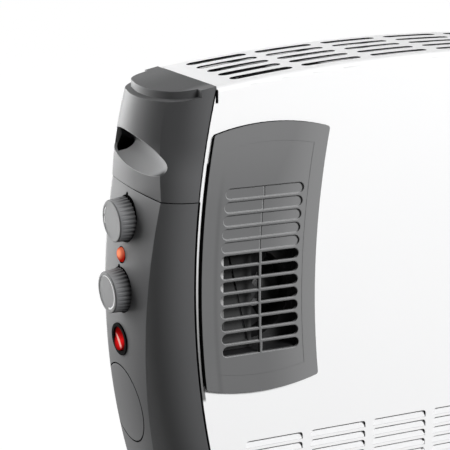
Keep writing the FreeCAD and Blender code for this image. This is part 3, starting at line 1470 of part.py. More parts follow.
def make_bracket(name, end):
    half = "sheet_thickness / 2"
    middle = f"{end} * {BRACKET_PLACE}"
    base = "body_base + sheet_thickness"
    top = "element_height + bracket_height / 3"
    web_low = (f"{middle} - {half}", "-bracket_half_depth", base)
    web_high = (f"{middle} + {half}", "bracket_half_depth", top)
    web = box(name + "_web", web_low, web_high)
    foot_ends = (f"{middle} - bracket_foot", f"{middle} + {half}")
    if end > 0:
        foot_ends = (f"{middle} - {half}", f"{middle} + bracket_foot")
    foot = box(
        name + "_foot",
        (foot_ends[0], "-bracket_half_depth", base),
        (foot_ends[1], "bracket_half_depth", f"{base} + sheet_thickness"),
    )
    holes = []
    for side in (-1, 1):
        where = (f"{middle} - bush_length", element_line(side), "element_height")
        wide = "bush_radius + shaft_clearance"
        holes.append(cylinder(f"{name}_hole{side + 1}", "x", where, wide, "2 * bush_length"))
    return node(cut(name, fuse(name + "_bent", web, foot), *holes), name)


def make_heat_shield():
    base = "body_base + sheet_thickness"
    wall_low = ("-shield_half_width", "shield_line - sheet_thickness", base)
    wall = box("shield_wall", wall_low, ("shield_half_width", "shield_line", "shield_top"))
    foot_high = ("shield_half_width", f"shield_line + shield_foot", f"{base} + sheet_thickness")
    foot = box("shield_lip", wall_low, foot_high)
    return node(fuse("heat_shield", wall, foot), "heat_shield")


def make_terminal_block():
    base = "body_base + sheet_thickness"
    x = f"-({BRACKET_PLACE} + bracket_foot + 1)"
    low = (f"{x} - terminal_length", "-terminal_width / 2", base)
    high = (x, "terminal_width / 2", f"{base} + terminal_tall")
    block = box("terminal_solid", low, high)
    wells = []
    for index, side in enumerate((-1, 0, 1)):
        y = f"{side} * terminal_width / 3.2"
        where = (f"{x} - terminal_length / 2", y, f"{base} + terminal_tall / 2")
        wells.append(cylinder(f"terminal_well_{index}", "z", where, "terminal_width / 12", "terminal_tall"))
    return node(cut("terminal_block", block, *wells), "terminal_block")


def make_thermal_cutout():
    where = (f"-({BRACKET_PLACE} + sheet_thickness / 2 + cutout_length)", "0", "element_height")
    item = cylinder("thermal_cutout", "x", where, "cutout_radius", "cutout_length")
    return node(item, "thermal_cutout", *where)


# Cord inlet: a plastic gland through the rear wall of the control cap

def make_gland():
    x = f"-({seam('gland_height')} + {CAP_SCREW_INSET})"
    wall = "rear_depth - cap_wall"
    start = (x, f"{wall} - sheet_thickness - gland_collar", "gland_height")
    length = "cap_wall + sheet_thickness + 2 * gland_collar"
    stem = cylinder("gland_stem", "y", start, "gland_radius - screw_clearance", length)
    collar_start = (x, "rear_depth", "gland_height")
    collar = cylinder("gland_rim", "y", collar_start, "gland_radius + gland_collar", "gland_collar")
    bore = cylinder("gland_bore_cut", "y", start, "gland_bore", "8 * gland_collar")
    return node(cut("cord_gland", fuse("gland_solid", stem, collar), bore), "cord_gland")


# Feet: arched plastic bars under each end, standing on rubber pads

def make_foot(name, side):
    body = new_body(name)
    profile = sketch(body, name + "_side", "YZ_Plane", f"{side} * foot_place - foot_width / 2")
    half = "foot_length / 2"
    polygon(profile, (
        (f"-({half})", "pad_height"),
        (f"foot_toe_length - {half}", "pad_height"),
        (f"foot_toe_length + foot_arch - {half}", "pad_height + foot_arch"),
        (f"{half} - foot_toe_length - foot_arch", "pad_height + foot_arch"),
        (f"{half} - foot_toe_length", "pad_height"),
        (half, "pad_height"),
        (half, "pad_height + foot_toe"),
        ("foot_saddle", "body_base"),
        ("-foot_saddle", "body_base"),
        (f"-({half})", "pad_height + foot_toe"),
    ))
    pad(body, profile, "foot_width")
    toe = value(half) - 0.01
    rounded = lambda edge: edge.BoundBox.YMin > toe or edge.BoundBox.YMax < -toe
    upright = lambda edge: rounded(edge) and edge.BoundBox.ZLength > value("foot_toe") / 2
    fillet(body, "foot_round", upright)
    for index, place_y in enumerate(("-foot_screw_place", "foot_screw_place")):
        hole = sketch(body, f"{name}_screw_{index}", "XY_Plane", "body_base + sheet_thickness")
        circle(hole, f"{side} * foot_place", place_y, SCREW_HOLE)
        pocket(body, hole, "body_base")
    return node(body, name)


def make_pads():
    pads = []
    for side in (-1, 1):
        for end in (-1, 1):
            where = (f"{side} * foot_place", f"{end} * pad_place", "0")
            pads.append(cylinder(f"pad_{len(pads)}", "z", where, "pad_radius", "pad_height"))
    return node(group("foot_pads", *pads), "foot_pads")


# Screws: pan heads with plain shanks, one group for each job

def screw(name, axis, start, turn):
    """A screw whose head's flat lies at start; turn is 1 where the shank runs along the axis."""
    moves = {"x": 0, "y": 1, "z": 2}[axis]
    head = list(start)
    shank = list(start)
    if turn > 0:
        head[moves] = f"{start[moves]} - screw_head"
    else:
        shank[moves] = f"{start[moves]} - screw_length"
    top = cylinder(name + "_head", axis, head, "screw_head_radius", "screw_head")
    stem = cylinder(name + "_shank", axis, shank, "screw_radius", "screw_length")
    return fuse(name, top, stem)


def make_cap_screws():
    screws = []
    for side in (-1, 1):
        for height in LOWER_SCREWS + UPPER_SCREWS:
            start = (f"{side} * ({seam(height)} + {CAP_SCREW_INSET})", "rear_depth", height)
            screws.append(screw(f"cap_screw_{len(screws)}", "y", start, -1))
    return node(group("cap_screws", *screws), "cap_screws")


REAR_SCREW_HEIGHT = "(top_height - (flange_drop + rear_sheet_drop) / 2)"


def rear_screw_places():
    return [f"{side} * rear_screw_place" for side in (-1, 0, 1)]


def make_rear_screws():
    screws = []
    for x in rear_screw_places():
        screws.append(screw(f"rear_screw_{len(screws)}", "y", (x, "rear_depth", REAR_SCREW_HEIGHT), -1))
    return node(group("rear_screws", *screws), "rear_screws")


def foot_screw_places():
    spots = []
    for side in (-1, 1):
        for end in (-1, 1):
            spots.append((f"{side} * foot_place", f"{end} * foot_screw_place"))
    return spots


def make_foot_screws():
    screws = []
    for x, y in foot_screw_places():
        start = (x, y, "pad_height + foot_arch")
        item = screw(f"foot_screw_{len(screws)}", "z", start, 1)
        length = "body_base + 4 * sheet_thickness - pad_height - foot_arch"
        item.Shapes[1].setExpression("Height", bound(length))
        screws.append(item)
    return node(group("foot_screws", *screws), "foot_screws")


def through_holes(name, axis, spots, length):
    holes = []
    for index, spot in enumerate(spots):
        holes.append(cylinder(f"{name}_{index}", axis, spot, SCREW_HOLE, length))
    return holes


# Assembly

rear_spots = [(x, "rear_depth - screw_length", REAR_SCREW_HEIGHT) for x in rear_screw_places()]
rear_holes = through_holes("rear_screw_hole", "y", rear_spots, "2 * screw_length")
foot_spots = [(x, y, "body_base - sheet_thickness") for x, y in foot_screw_places()]
foot_holes = through_holes("foot_screw_hole", "z", foot_spots, "3 * sheet_thickness")
rear_tool = fuse("rear_screw_holes", *rear_holes)
node(cut("front_panel_sheet", make_front_panel(), rear_tool), "front_panel")
node(cut("rear_panel_sheet", make_rear_panel(), rear_tool), "rear_panel")
node(cut("bottom_grille_sheet", make_bottom_grille(), *foot_holes), "bottom_grille")

plate_holes = screw_holes("plate_hole", CAP_SCREW_INSET, LOWER_SCREWS + UPPER_SCREWS, SCREW_HOLE)
gland_where = (f"-({seam('gland_height')} + {CAP_SCREW_INSET})", "rear_depth - screw_length", "gland_height")
plate_holes.append(cylinder("plate_gland_hole", "y", gland_where, "gland_radius", "2 * screw_length"))
end_plate = cut("end_plate_sheet", make_end_plate(), *plate_holes)
node(end_plate, "left_end_plate")
mirrored_node("right_end_plate", end_plate)

handle_cap = make_handle_cap()
node(handle_cap, "left_handle_cap")
mirrored_node("right_handle_cap", handle_cap)

lower_head = "(split_height + split_rise)"
lower_whole = make_lower_block("lower_whole", "body_base", lower_head)
lower_block = cut("lower_block", lower_whole, past_split("over_split", "0", "end_half_width"))
lower_ends = ("(body_base + cap_wall)", f"({lower_head} + split_gap)")
lower_hollow = make_lower_block("lower_hollow", *lower_ends, "cap_wall")
lower_shell = cut("lower_shell", lower_block, lower_hollow)
cover_holes = screw_holes("cover_hole", CAP_SCREW_INSET, LOWER_SCREWS, SCREW_HOLE)
plain_cover = place(cut("cover_shell", lower_shell, *cover_holes), CENTRE_SHIFT)
mirrored_node("right_end_cover", plain_cover)
node(make_control_panel(lower_shell, lower_block), "left_control_panel")
node(make_blank_cover(lower_shell), "timer_blank_cover")

node(make_turbo_grille(), "turbo_grille")
make_knob("power_selector_knob", "selector_height")
make_knob("thermostat_knob", "thermostat_height")
make_shaft("selector_shaft", "selector_height")
make_shaft("thermostat_shaft", "thermostat_height")
make_selector_body()
make_thermostat_body()
make_pilot_lens()
make_lamp_holder()
make_switch_body()
make_rocker()

make_impeller()
make_fan_shaft()
make_shroud()
make_air_guide()
make_motor()

make_element("heating_element_front", -1)
make_element("heating_element_rear", 1)
make_bushes()
make_bracket("left_element_bracket", -1)
make_bracket("right_element_bracket", 1)
make_heat_shield()
make_terminal_block()
make_thermal_cutout()
make_gland()

make_foot("left_foot", -1)
make_foot("right_foot", 1)
make_pads()
make_cap_screws()
make_rear_screws()
make_foot_screws()
doc.recompute()

# Every object has to be sound before anything is written
for item in doc.Objects:
    if {"Invalid", "Error"} & set(item.State):
        raise RuntimeError(f"{item.Label} failed: {item.State}")
for item in nodes:
    if item.Shape.isNull() or not item.Shape.isValid():
        raise RuntimeError(f"{item.Label} has no sound shape")
for item in nodes:
    item.Shape.exportStep(f"parts/{item.Label}.step")
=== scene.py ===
import json
import math

import bpy
from mathutils import Euler, Matrix, Vector


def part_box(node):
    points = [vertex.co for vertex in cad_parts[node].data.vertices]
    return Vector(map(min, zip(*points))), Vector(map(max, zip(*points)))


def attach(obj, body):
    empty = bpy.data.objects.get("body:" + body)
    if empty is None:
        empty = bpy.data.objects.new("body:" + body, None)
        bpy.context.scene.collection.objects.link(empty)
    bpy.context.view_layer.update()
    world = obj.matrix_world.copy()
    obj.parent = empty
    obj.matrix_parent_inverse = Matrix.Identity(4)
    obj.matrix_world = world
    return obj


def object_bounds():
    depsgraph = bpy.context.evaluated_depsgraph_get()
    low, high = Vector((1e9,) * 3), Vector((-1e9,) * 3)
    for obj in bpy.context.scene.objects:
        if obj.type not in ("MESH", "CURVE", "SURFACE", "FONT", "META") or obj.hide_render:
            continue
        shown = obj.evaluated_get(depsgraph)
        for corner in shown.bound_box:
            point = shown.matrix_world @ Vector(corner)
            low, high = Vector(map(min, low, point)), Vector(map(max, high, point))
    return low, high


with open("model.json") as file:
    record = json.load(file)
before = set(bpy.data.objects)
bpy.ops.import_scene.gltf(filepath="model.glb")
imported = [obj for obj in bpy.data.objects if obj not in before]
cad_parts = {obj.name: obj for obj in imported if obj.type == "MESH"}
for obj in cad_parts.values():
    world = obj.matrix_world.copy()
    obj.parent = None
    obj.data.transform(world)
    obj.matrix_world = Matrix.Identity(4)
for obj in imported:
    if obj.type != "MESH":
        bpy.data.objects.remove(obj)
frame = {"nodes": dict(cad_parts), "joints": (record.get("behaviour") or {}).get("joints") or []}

cad_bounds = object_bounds()


# The white body: a steel sheet folded over the arched top, closed by a rear and a bottom sheet.
# The outside has a baked white powder coat with a faint orange peel.
# The inside is painted near black as shade, which leaves the outlet slots black.
class Value:
    """A shader socket that takes part in sums and products as a number does."""

    def __init__(self, graph, socket):
        self.graph = graph
        self.socket = socket

    def maths(self, operation, first, second=0.0):
        return self.graph.node("ShaderNodeMath", {"operation": operation}, {0: first, 1: second})

    def __add__(self, other):
        return self.maths("ADD", self, other)

    __radd__ = __add__

    def __sub__(self, other):
        return self.maths("SUBTRACT", self, other)

    def __rsub__(self, other):
        return self.maths("SUBTRACT", other, self)

    def __mul__(self, other):
        return self.maths("MULTIPLY", self, other)

    __rmul__ = __mul__

    def __neg__(self):
        return -1 * self

    def __pow__(self, other):
        return self.maths("POWER", self, other)

    def __mod__(self, other):
        return self.maths("FLOORED_MODULO", self, other)

    def __abs__(self):
        return self.maths("ABSOLUTE", self)

    def most(self, other):
        return self.maths("MAXIMUM", self, other)

    def rise(self, low, high):
        """0 up to low, 1 from high on, and a smooth slope between them."""
        ends = {"Value": self, "From Min": low, "From Max": high}
        return self.graph.node("ShaderNodeMapRange", {"interpolation_type": "SMOOTHSTEP"}, ends)

    def fall(self, low, high):
        """1 up to low, 0 from high on, and a smooth slope between them."""
        return 1 - self.rise(low, high)


class Graph:
    """A node tree, and one way to add a node of any kind to it."""

    def __init__(self, tree):
        self.tree = tree

    def node(self, kind, settings=(), inputs=(), output=0):
        made = self.tree.nodes.new(kind)
        for name, setting in dict(settings).items():
            setattr(made, name, setting)
        for slot, term in dict(inputs).items():
            if isinstance(term, Value):
                self.tree.links.new(term.socket, made.inputs[slot])
            else:
                made.inputs[slot].default_value = term
        return Value(self, made.outputs[output])


class Finish(Graph):
    """One material on a Principled shader, read from Object coordinates in metres."""

    def __init__(self, name, **constants):
        self.material = bpy.data.materials.new(name)
        self.material.use_nodes = True
        super().__init__(self.material.node_tree)
        self.shader = self.tree.nodes["Principled BSDF"]
        for socket, level in constants.items():
            self.shader.inputs[socket.replace("_", " ")].default_value = level
        self.place = self.node("ShaderNodeTexCoord", output="Object")

    def axes(self, place=None):
        """The three coordinates of a place as separate values."""
        return [self.node("ShaderNodeSeparateXYZ", (), {0: place or self.place}, axis) for axis in "XYZ"]

    def faces(self):
        """The three coordinates of the way that a surface faces."""
        return self.axes(self.node("ShaderNodeNewGeometry", output="Normal"))

    def noise(self, per_metre, detail=2.0, stretch=(1, 1, 1)):
        """A mottle from 0 to 1 with so many spots to the metre."""
        spot = self.node("ShaderNodeMapping", (), {"Vector": self.place, "Scale": stretch})
        return self.node("ShaderNodeTexNoise", (), {"Vector": spot, "Scale": per_metre, "Detail": detail})

    def blend(self, share, first, second):
        """A colour between two, by a share from 0 to 1."""
        first, second = (term if isinstance(term, Value) else (*term, 1) for term in (first, second))
        return self.node("ShaderNodeMix", {"data_type": "RGBA"}, {0: share, 6: first, 7: second}, 2)

    def feed(self, socket, term):
        self.tree.links.new(term.socket, self.shader.inputs[socket])

    def roughen(self, pattern, least, most):
        """Lets the roughness follow a pattern between two levels."""
        self.feed("Roughness", least + (most - least) * pattern)

    def soft_edges(self, radius):
        """The way a surface faces, with its edges rounded a little in the light."""
        return self.node("ShaderNodeBevel", {"samples": 6}, {"Radius": radius})

    def texture(self, per_metre, strength, facing, depth=0.0002):
        """Gives a surface that faces a certain way its fine sprayed or moulded texture."""
        grain = {"Height": self.noise(per_metre), "Strength": strength, "Distance": depth, "Normal": facing}
        self.feed("Normal", self.node("ShaderNodeBump", (), grain))

    def mix(self, share, kind, inputs):
        """Lets a shader of another kind take over by a share from 0 to 1."""
        own = Value(self, self.shader.outputs[0])
        other = self.node(kind, (), inputs)
        mixed = self.node("ShaderNodeMixShader", (), {0: share, 1: own, 2: other})
        self.tree.links.new(mixed.socket, self.tree.nodes["Material Output"].inputs["Surface"])


def wear(finish, *names):
    """Gives CAD nodes a finish."""
    for name in names:
        slots = frame["nodes"][name].data.materials
        slots.clear()
        slots.append(finish.material)


panel_low, panel_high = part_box("front_panel")
plate_low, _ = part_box("turbo_grille")
body_middle = (panel_low.x + panel_high.x) / 2
arch_radius = 1.724
end_bow_radius, end_bow_middle = 0.747, 0.23
outlet_pitch, outlet_row_pitch = 0.065, 0.0225
outlet_half_length, outlet_radius = 0.02685, 0.0045
outlets_half_length, outlets_half_depth = 3.5 * outlet_pitch, 0.054
coat_depth = (0.0002, 0.0003)
mask_edge = 0.0005
inside_shade_black = (0.008, 0.008, 0.0085)
dusty_white, strip_shade_grey = (0.74, 0.742, 0.748), (0.16, 0.16, 0.16)


def unbowed(along, height):
    """The place along the body once the bow of its left end is taken out."""
    return along - end_bow_radius + (end_bow_radius ** 2 - (height - end_bow_middle) ** 2) ** 0.5


white_coat = Finish("white_powder_coat", Specular_IOR_Level=0.3)
along, deep, height = white_coat.axes()
arch_drop = arch_radius - (arch_radius ** 2 - (along - body_middle) ** 2) ** 0.5
# Painted shade: the sheet's inside is near black.
inside = (panel_high.z - arch_drop - height).rise(*coat_depth)
inside = inside * abs(deep).fall(outlets_half_depth, outlets_half_depth + mask_edge)

# Painted shade: the lips that turn down into the outlet slots are dark, most of all at the left, to widen
# the shade in the slots
thin_lip_shade, wide_lip_shade = 0.0003, 0.0015
lip_change, lip_edge = (0.02, 0.2), (-0.0002, 0.0001)
in_column = abs((along - body_middle + outlet_pitch / 2) % outlet_pitch - outlet_pitch / 2)
in_row = (deep + outlet_row_pitch / 2) % outlet_row_pitch - outlet_row_pitch / 2
past_end = (in_column - outlet_half_length + outlet_radius).most(0)
lip_shade_width = thin_lip_shade + (wide_lip_shade - thin_lip_shade) * (along - panel_low.x).fall(*lip_change)
lips = ((past_end ** 2 + in_row * in_row) ** 0.5 - outlet_radius - lip_shade_width).fall(*lip_edge)
lips = lips * abs(deep).fall(outlets_half_depth - 2 * mask_edge, outlets_half_depth)
lips = lips * abs(along - body_middle).fall(outlets_half_length - 2 * mask_edge, outlets_half_length)

# Painted shade: a dark line along the left edge where it meets the cap, and a black line beside the turbo
# grille, partly foam and partly painted shadow
seam_shade_edge, cap_joint = (0.0006, 0.0009), (0.309, 0.31)
foam_start, foam_end = (-0.0017, -0.0013), (0.001, 0.002)
foam_bottom, foam_top = (0.15, 0.152), (0.34, 0.342)
straight = unbowed(along, height)
from_plate = straight - plate_low.x
seam_shade = (straight - panel_low.x).fall(*seam_shade_edge) * height.fall(*cap_joint)
foam_and_shade = from_plate.rise(*foam_start) * from_plate.fall(*foam_end)
foam_and_shade = foam_and_shade * height.rise(*foam_bottom) * height.fall(*foam_top)
dark = inside.most(seam_shade).most(foam_and_shade).most(lips)
white_coat.mix(dark, "ShaderNodeBsdfDiffuse", {"Color": (*inside_shade_black, 1)})

# The louvres hold dust where they face up, and the strip between cap and grille has painted shade, darkest
# low down
louvre_lean, louvre_top = (0.03, 0.12), (0.2, 0.22)
strip_shade_edge, strip_shade_bottom, strip_shade_top = (-0.001, 0), (0.136, 0.14), (0.14, 0.33)
_, _, upward = white_coat.faces()
louvres = upward.rise(*louvre_lean) * height.fall(*louvre_top)
strip_shade = from_plate.fall(*strip_shade_edge) * height.rise(*strip_shade_bottom) * height.fall(*strip_shade_top)
coat = white_coat.blend(white_coat.noise(5.0), (0.87, 0.872, 0.878), (0.9, 0.9, 0.902))
coat = white_coat.blend(louvres, coat, dusty_white)
white_coat.feed("Base Color", white_coat.blend(strip_shade, coat, strip_shade_grey))
white_coat.roughen(white_coat.noise(18.0), least=0.4, most=0.52)
white_coat.texture(per_metre=900.0, strength=0.08, facing=white_coat.soft_edges(0.0003))
wear(white_coat, "front_panel")

sheet_face = (0.0002, 0.0004)
back_coat = Finish("white_back_coat", Specular_IOR_Level=0.3)
_, deep, height = back_coat.axes()
# Painted shade: the insides of the rear and bottom sheets are near black.
inside = (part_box("rear_panel")[1].y - deep).rise(*sheet_face)
inside = inside * (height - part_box("bottom_grille")[0].z).rise(*sheet_face)
coat = back_coat.blend(back_coat.noise(5.0), (0.86, 0.862, 0.868), (0.9, 0.9, 0.902))
back_coat.feed("Base Color", back_coat.blend(inside, coat, inside_shade_black))
back_coat.roughen(back_coat.noise(18.0), least=0.4, most=0.52)
back_coat.texture(per_metre=900.0, strength=0.08, facing=back_coat.soft_edges(0.0003))
wear(back_coat, "rear_panel", "bottom_grille")

# End plates, element brackets and the heat shield: folded zinc plated sheet, painted dark as shade.
# The end plates close the white box inside the caps. All are seen only through slots and gaps.
zinc = Finish("zinc_sheet", Metallic=1.0)
spangle = zinc.node("ShaderNodeTexVoronoi", (), {"Vector": zinc.place, "Scale": 140.0}, "Distance")
zinc.feed("Base Color", zinc.blend(zinc.noise(40.0), (0.07, 0.072, 0.075), (0.12, 0.122, 0.125)))
zinc.roughen(spangle, least=0.5, most=0.75)
wear(zinc, "left_end_plate", "right_end_plate")
wear(zinc, "left_element_bracket", "right_element_bracket", "heat_shield")

# Heating elements: extruded aluminium blades round a core, painted dark as shade.
# Ceramic bushes carry their ends, and a ceramic block takes the wires.
alloy = Finish("element_alloy", Metallic=1.0)
scale = alloy.noise(60.0, 3.0, (0.1, 1, 1))
alloy.feed("Base Color", alloy.blend(scale, (0.22, 0.21, 0.2), (0.34, 0.33, 0.32)))
alloy.roughen(scale, least=0.45, most=0.65)
wear(alloy, "heating_element_front", "heating_element_rear")

ceramic = Finish("ceramic", Specular_IOR_Level=0.3)
ceramic.feed("Base Color", ceramic.blend(ceramic.noise(120.0), (0.62, 0.6, 0.55), (0.72, 0.7, 0.64)))
ceramic.roughen(ceramic.noise(300.0), least=0.55, most=0.7)
wear(ceramic, "element_bushes", "terminal_block")

# The turbo fan: a moulded black impeller on a steel shaft, in a black duct behind the grille.
# A shaded-pole motor with a laminated steel core hangs on the duct's spider.
# The thermal cut-out has a case of the same plastic.
black = Finish("black_plastic", Specular_IOR_Level=0.4)
black.feed("Base Color", black.blend(black.noise(80.0), (0.011, 0.011, 0.012), (0.018, 0.018, 0.019)))
black.roughen(black.noise(500.0), least=0.38, most=0.52)
black.texture(per_metre=2500.0, strength=0.08, facing=black.soft_edges(0.0003))
wear(black, "fan_impeller", "fan_shroud", "thermal_cutout")

steel = Finish("bright_steel", Metallic=1.0)
brushing = steel.noise(400.0, 3.0, (1, 1, 0.05))
steel.feed("Base Color", steel.blend(brushing, (0.42, 0.42, 0.43), (0.56, 0.56, 0.57)))
steel.roughen(brushing, least=0.25, most=0.45)
wear(steel, "fan_shaft", "fan_motor")

# The air guide: a bent wall of dark grey plastic behind the left halves of the open slots.
# It turns the fan's air to the right, and its upper end has painted shade.
# A narrow strip near its left hem is painted light grey, a painted highlight where the slots' left ends
# catch light.
hem_left, hem_right, hem_bottom = (0.0232, 0.0236), (0.0268, 0.0272), (0.19, 0.23)
top_shade_start, top_shade_least = (0.2, 0.262), 0.7
guide_dark, top_shade_black, hem_highlight_grey = (0.045, 0.0455, 0.046), (0.01, 0.01, 0.01), (0.5, 0.5, 0.5)
guide_grey = Finish("guide_plastic", Specular_IOR_Level=0.05)
along, _, height = guide_grey.axes()
from_plate = unbowed(along, height) - plate_low.x
hem_highlight = from_plate.rise(*hem_left) * from_plate.fall(*hem_right) * height.rise(*hem_bottom)
guide_top_shade = height.rise(*top_shade_start) * (top_shade_least + (1 - top_shade_least) * guide_grey.noise(40.0))
grey = guide_grey.blend(guide_top_shade, guide_dark, top_shade_black)
guide_grey.feed("Base Color", guide_grey.blend(hem_highlight, grey, hem_highlight_grey))
guide_grey.roughen(guide_grey.noise(700.0), least=0.5, most=0.62)
guide_grey.texture(per_metre=2200.0, strength=0.1, facing=guide_grey.soft_edges(0.0003))
wear(guide_grey, "air_guide")

# The turbo grille: a bowed plate of mid grey plastic clipped over the fan's window.
# Five rows of slots are blind for show and eight are open.
# The plate's side walls are painted black, for a strip of foam round its edge and for the shade in its joint
# with the sheet.
plate_width = 0.1046
plate_rim, foam_depth = (0.001, 0.0014), (0.0007, 0.001)
rows_bottom, rows_top, rows_side = (0.171, 0.172), (0.322, 0.323), (0.0368, 0.0376)
foam_and_shade_black = (0.004, 0.004, 0.004)
plate_rough, plate_spread, foam_rough = 0.46, 0.12, 0.3
grille_grey = Finish("grille_plastic", Specular_IOR_Level=0.12)
along, deep, height = grille_grey.axes()
from_plate = unbowed(along, height) - plate_low.x
off_middle = abs(from_plate - plate_width / 2)
rows = height.rise(*rows_bottom) * height.fall(*rows_top)
foam_and_shade = (plate_width / 2 - off_middle).fall(*plate_rim).most(1 - rows)
foam_and_shade = foam_and_shade * (deep - plate_low.y).rise(*foam_depth)

# The plate has painted light to the right and at the top, and painted shade along the low step beside the
# slots
light_right, light_top, light_top_share = (0.05, plate_width), (0.3, 0.37), 0.4
step_place, step_width, step_top, step_shade_share = 0.0125, (0, 0.0035), (0.3, 0.34), 0.3
plate_light_grey, step_shade_grey = (0.225, 0.226, 0.228), (0.08, 0.08, 0.081)
plate_light = from_plate.rise(*light_right).most(light_top_share * height.rise(*light_top))
step_shade = abs(from_plate - step_place).fall(*step_width) * height.fall(*step_top)
mottle = grille_grey.blend(grille_grey.noise(25.0), (0.142, 0.143, 0.145), (0.152, 0.153, 0.155))
mottle = grille_grey.blend(plate_light, mottle, plate_light_grey)
mottle = grille_grey.blend(step_shade_share * step_shade, mottle, step_shade_grey)

# The lips of the slots have a painted highlight where they face up or right, and painted shade where they
# face away
lip_lean = (0.1, 0.55)
lip_highlight_grey, lip_shade_grey = (0.36, 0.362, 0.366), (0.045, 0.045, 0.045)
lips = grille_grey.soft_edges(0.0011)
to_right, _, upward = grille_grey.axes(lips)
in_rows = rows * off_middle.fall(*rows_side)
mottle = grille_grey.blend(in_rows * (to_right + upward).rise(*lip_lean), mottle, lip_highlight_grey)
mottle = grille_grey.blend(in_rows * (-to_right - upward).rise(*lip_lean), mottle, lip_shade_grey)
grille_grey.feed("Base Color", grille_grey.blend(foam_and_shade, mottle, foam_and_shade_black))
grille_grey.feed("Roughness", plate_rough + plate_spread * grille_grey.noise(700.0) + foam_rough * foam_and_shade)
flat = grille_grey.node("ShaderNodeCombineXYZ", (), {"Y": -1.0})
facing = grille_grey.blend(in_rows, flat, lips)
grille_grey.texture(per_metre=2200.0, strength=0.1, facing=facing)
wear(grille_grey, "turbo_grille")

# The end caps: dark grey moulded plastic with a fine spark-eroded texture, screwed to the end plates.
# The upper moulding is the carry handle, the lower one carries the controls on the left end.
# A round blank cover of the same plastic closes the unused timer place.
scoop_middle, scoop_radii = Vector((0.28985, 0.005, 0.342)), (0.024, 0.057, 0.0142)
scoop_slope = math.radians(6.2)
scoop_skin, scoop_front = (1.02, 1.06), (-0.046, -0.022)
cap_grey = Finish("cap_plastic", Specular_IOR_Level=0.15)
along, deep, height = cap_grey.axes()
scoop_out = abs(along - body_middle) - scoop_middle.x
scoop_back = deep - scoop_middle.y
scoop_up = height - scoop_middle.z
scoop_length = math.cos(scoop_slope) * scoop_back + math.sin(scoop_slope) * scoop_up
scoop_height = math.cos(scoop_slope) * scoop_up - math.sin(scoop_slope) * scoop_back
scoop_reaches = zip((scoop_out, scoop_length, scoop_height), scoop_radii)
scoop = sum((reach * (1 / radius)) ** 2 for reach, radius in scoop_reaches)
scoop = scoop.fall(*scoop_skin) * deep.rise(*scoop_front)

# Above the scoop the side rolls gently into the front, and below it the front is a crowned facet
upper_part, front_turn, level_turn = (0.325, 0.36), (0.36, 0.44), (0.7, 0.9)
roll_back, roll_front = (-0.005, 0.05), (-0.056, -0.038)
roll_lean, front_lean = 0.18, 0.33
facet_crown, facet_lean = 16, 0.85
_, faces_back, upward = cap_grey.faces()
upper = height.rise(*upper_part)
front = (-faces_back).rise(*front_turn)
level = upward.rise(*level_turn)
roll = roll_lean * deep.fall(*roll_back) - front_lean * deep.fall(*roll_front)
facet = front * (-facet_crown * deep - facet_lean)
roll = (upper * roll + (1 - upper) * facet) * (1 - scoop)
lean = cap_grey.node("ShaderNodeCombineXYZ", (), {"Y": -roll})
rounded = cap_grey.soft_edges(0.0006)
facing = cap_grey.node("ShaderNodeVectorMath", {"operation": "ADD"}, {0: rounded, 1: lean})
facing = cap_grey.node("ShaderNodeVectorMath", {"operation": "NORMALIZE"}, {0: facing})

# Painted shade darkens the plastic round the front edge, on top and low on the side; painted light makes it
# paler at the back and in the scoop
shade_front, shade_back, shade_facet = (-0.085, -0.04), (-0.04, 0.0), (-0.06, -0.036)
shade_share, level_share, shadow_share, light_band_share, light_least = 0.8, 0.75, 0.6, 0.42, 0.45
shadow_back, shadow_top = (-0.04, 0.01), (0.1, 0.23)
light_front, light_bottom, light_band = (-0.035, 0.045), (0.15, 0.29), (0.24, 0.3)
cap_shade_grey, side_light_grey, scoop_light_grey = (0.055, 0.0555, 0.057), (0.26, 0.261, 0.264), (0.44, 0.442, 0.446)
side = (1 - front) * (1 - level)
cap_shade = upper * deep.rise(*shade_front) * deep.fall(*shade_back)
cap_shade = cap_shade + (1 - upper) * front * deep.rise(*shade_facet)
shadow = side * deep.fall(*shadow_back) * height.fall(*shadow_top)
side_light = deep.rise(*light_front) * (light_least + (1 - light_least) * height.rise(*light_bottom))
side_light = side_light.most(light_band_share * height.rise(*light_band) * (1 - upper))
grey = cap_grey.blend(cap_grey.noise(25.0), (0.112, 0.113, 0.116), (0.122, 0.123, 0.126))
grey = cap_grey.blend((shade_share * cap_shade).most(level_share * level), grey, cap_shade_grey)
grey = cap_grey.blend(shadow_share * shadow, grey, cap_shade_grey)
grey = cap_grey.blend(side * side_light, grey, side_light_grey)
cap_grey.feed("Base Color", cap_grey.blend(scoop, grey, scoop_light_grey))

# Painted shade: the gaps round the knobs, the lamp and the blank cover and between the mouldings are black
split_bottom, split_top, control_end = (0.3, 0.303), (0.336, 0.338), (0.25, 0.26)
knob_gap, lamp_gap, gap_edge = 0.0193, 0.0073, 0.0004
selector_seat, thermostat_seat, lamp_seat = (0.0125, 0.2837), (0.0138, 0.2209), (0.01446, 0.251)
cover_gap, cover_gap_width = 0.0006, (0.0005, 0.0008)
gap_shade_black = (0.006, 0.006, 0.006)


def off_axis(deep, height, middle):
    """How far a place lies from an axis that runs along the heater through a middle."""
    return ((deep - middle[0]) ** 2 + (height - middle[1]) ** 2) ** 0.5


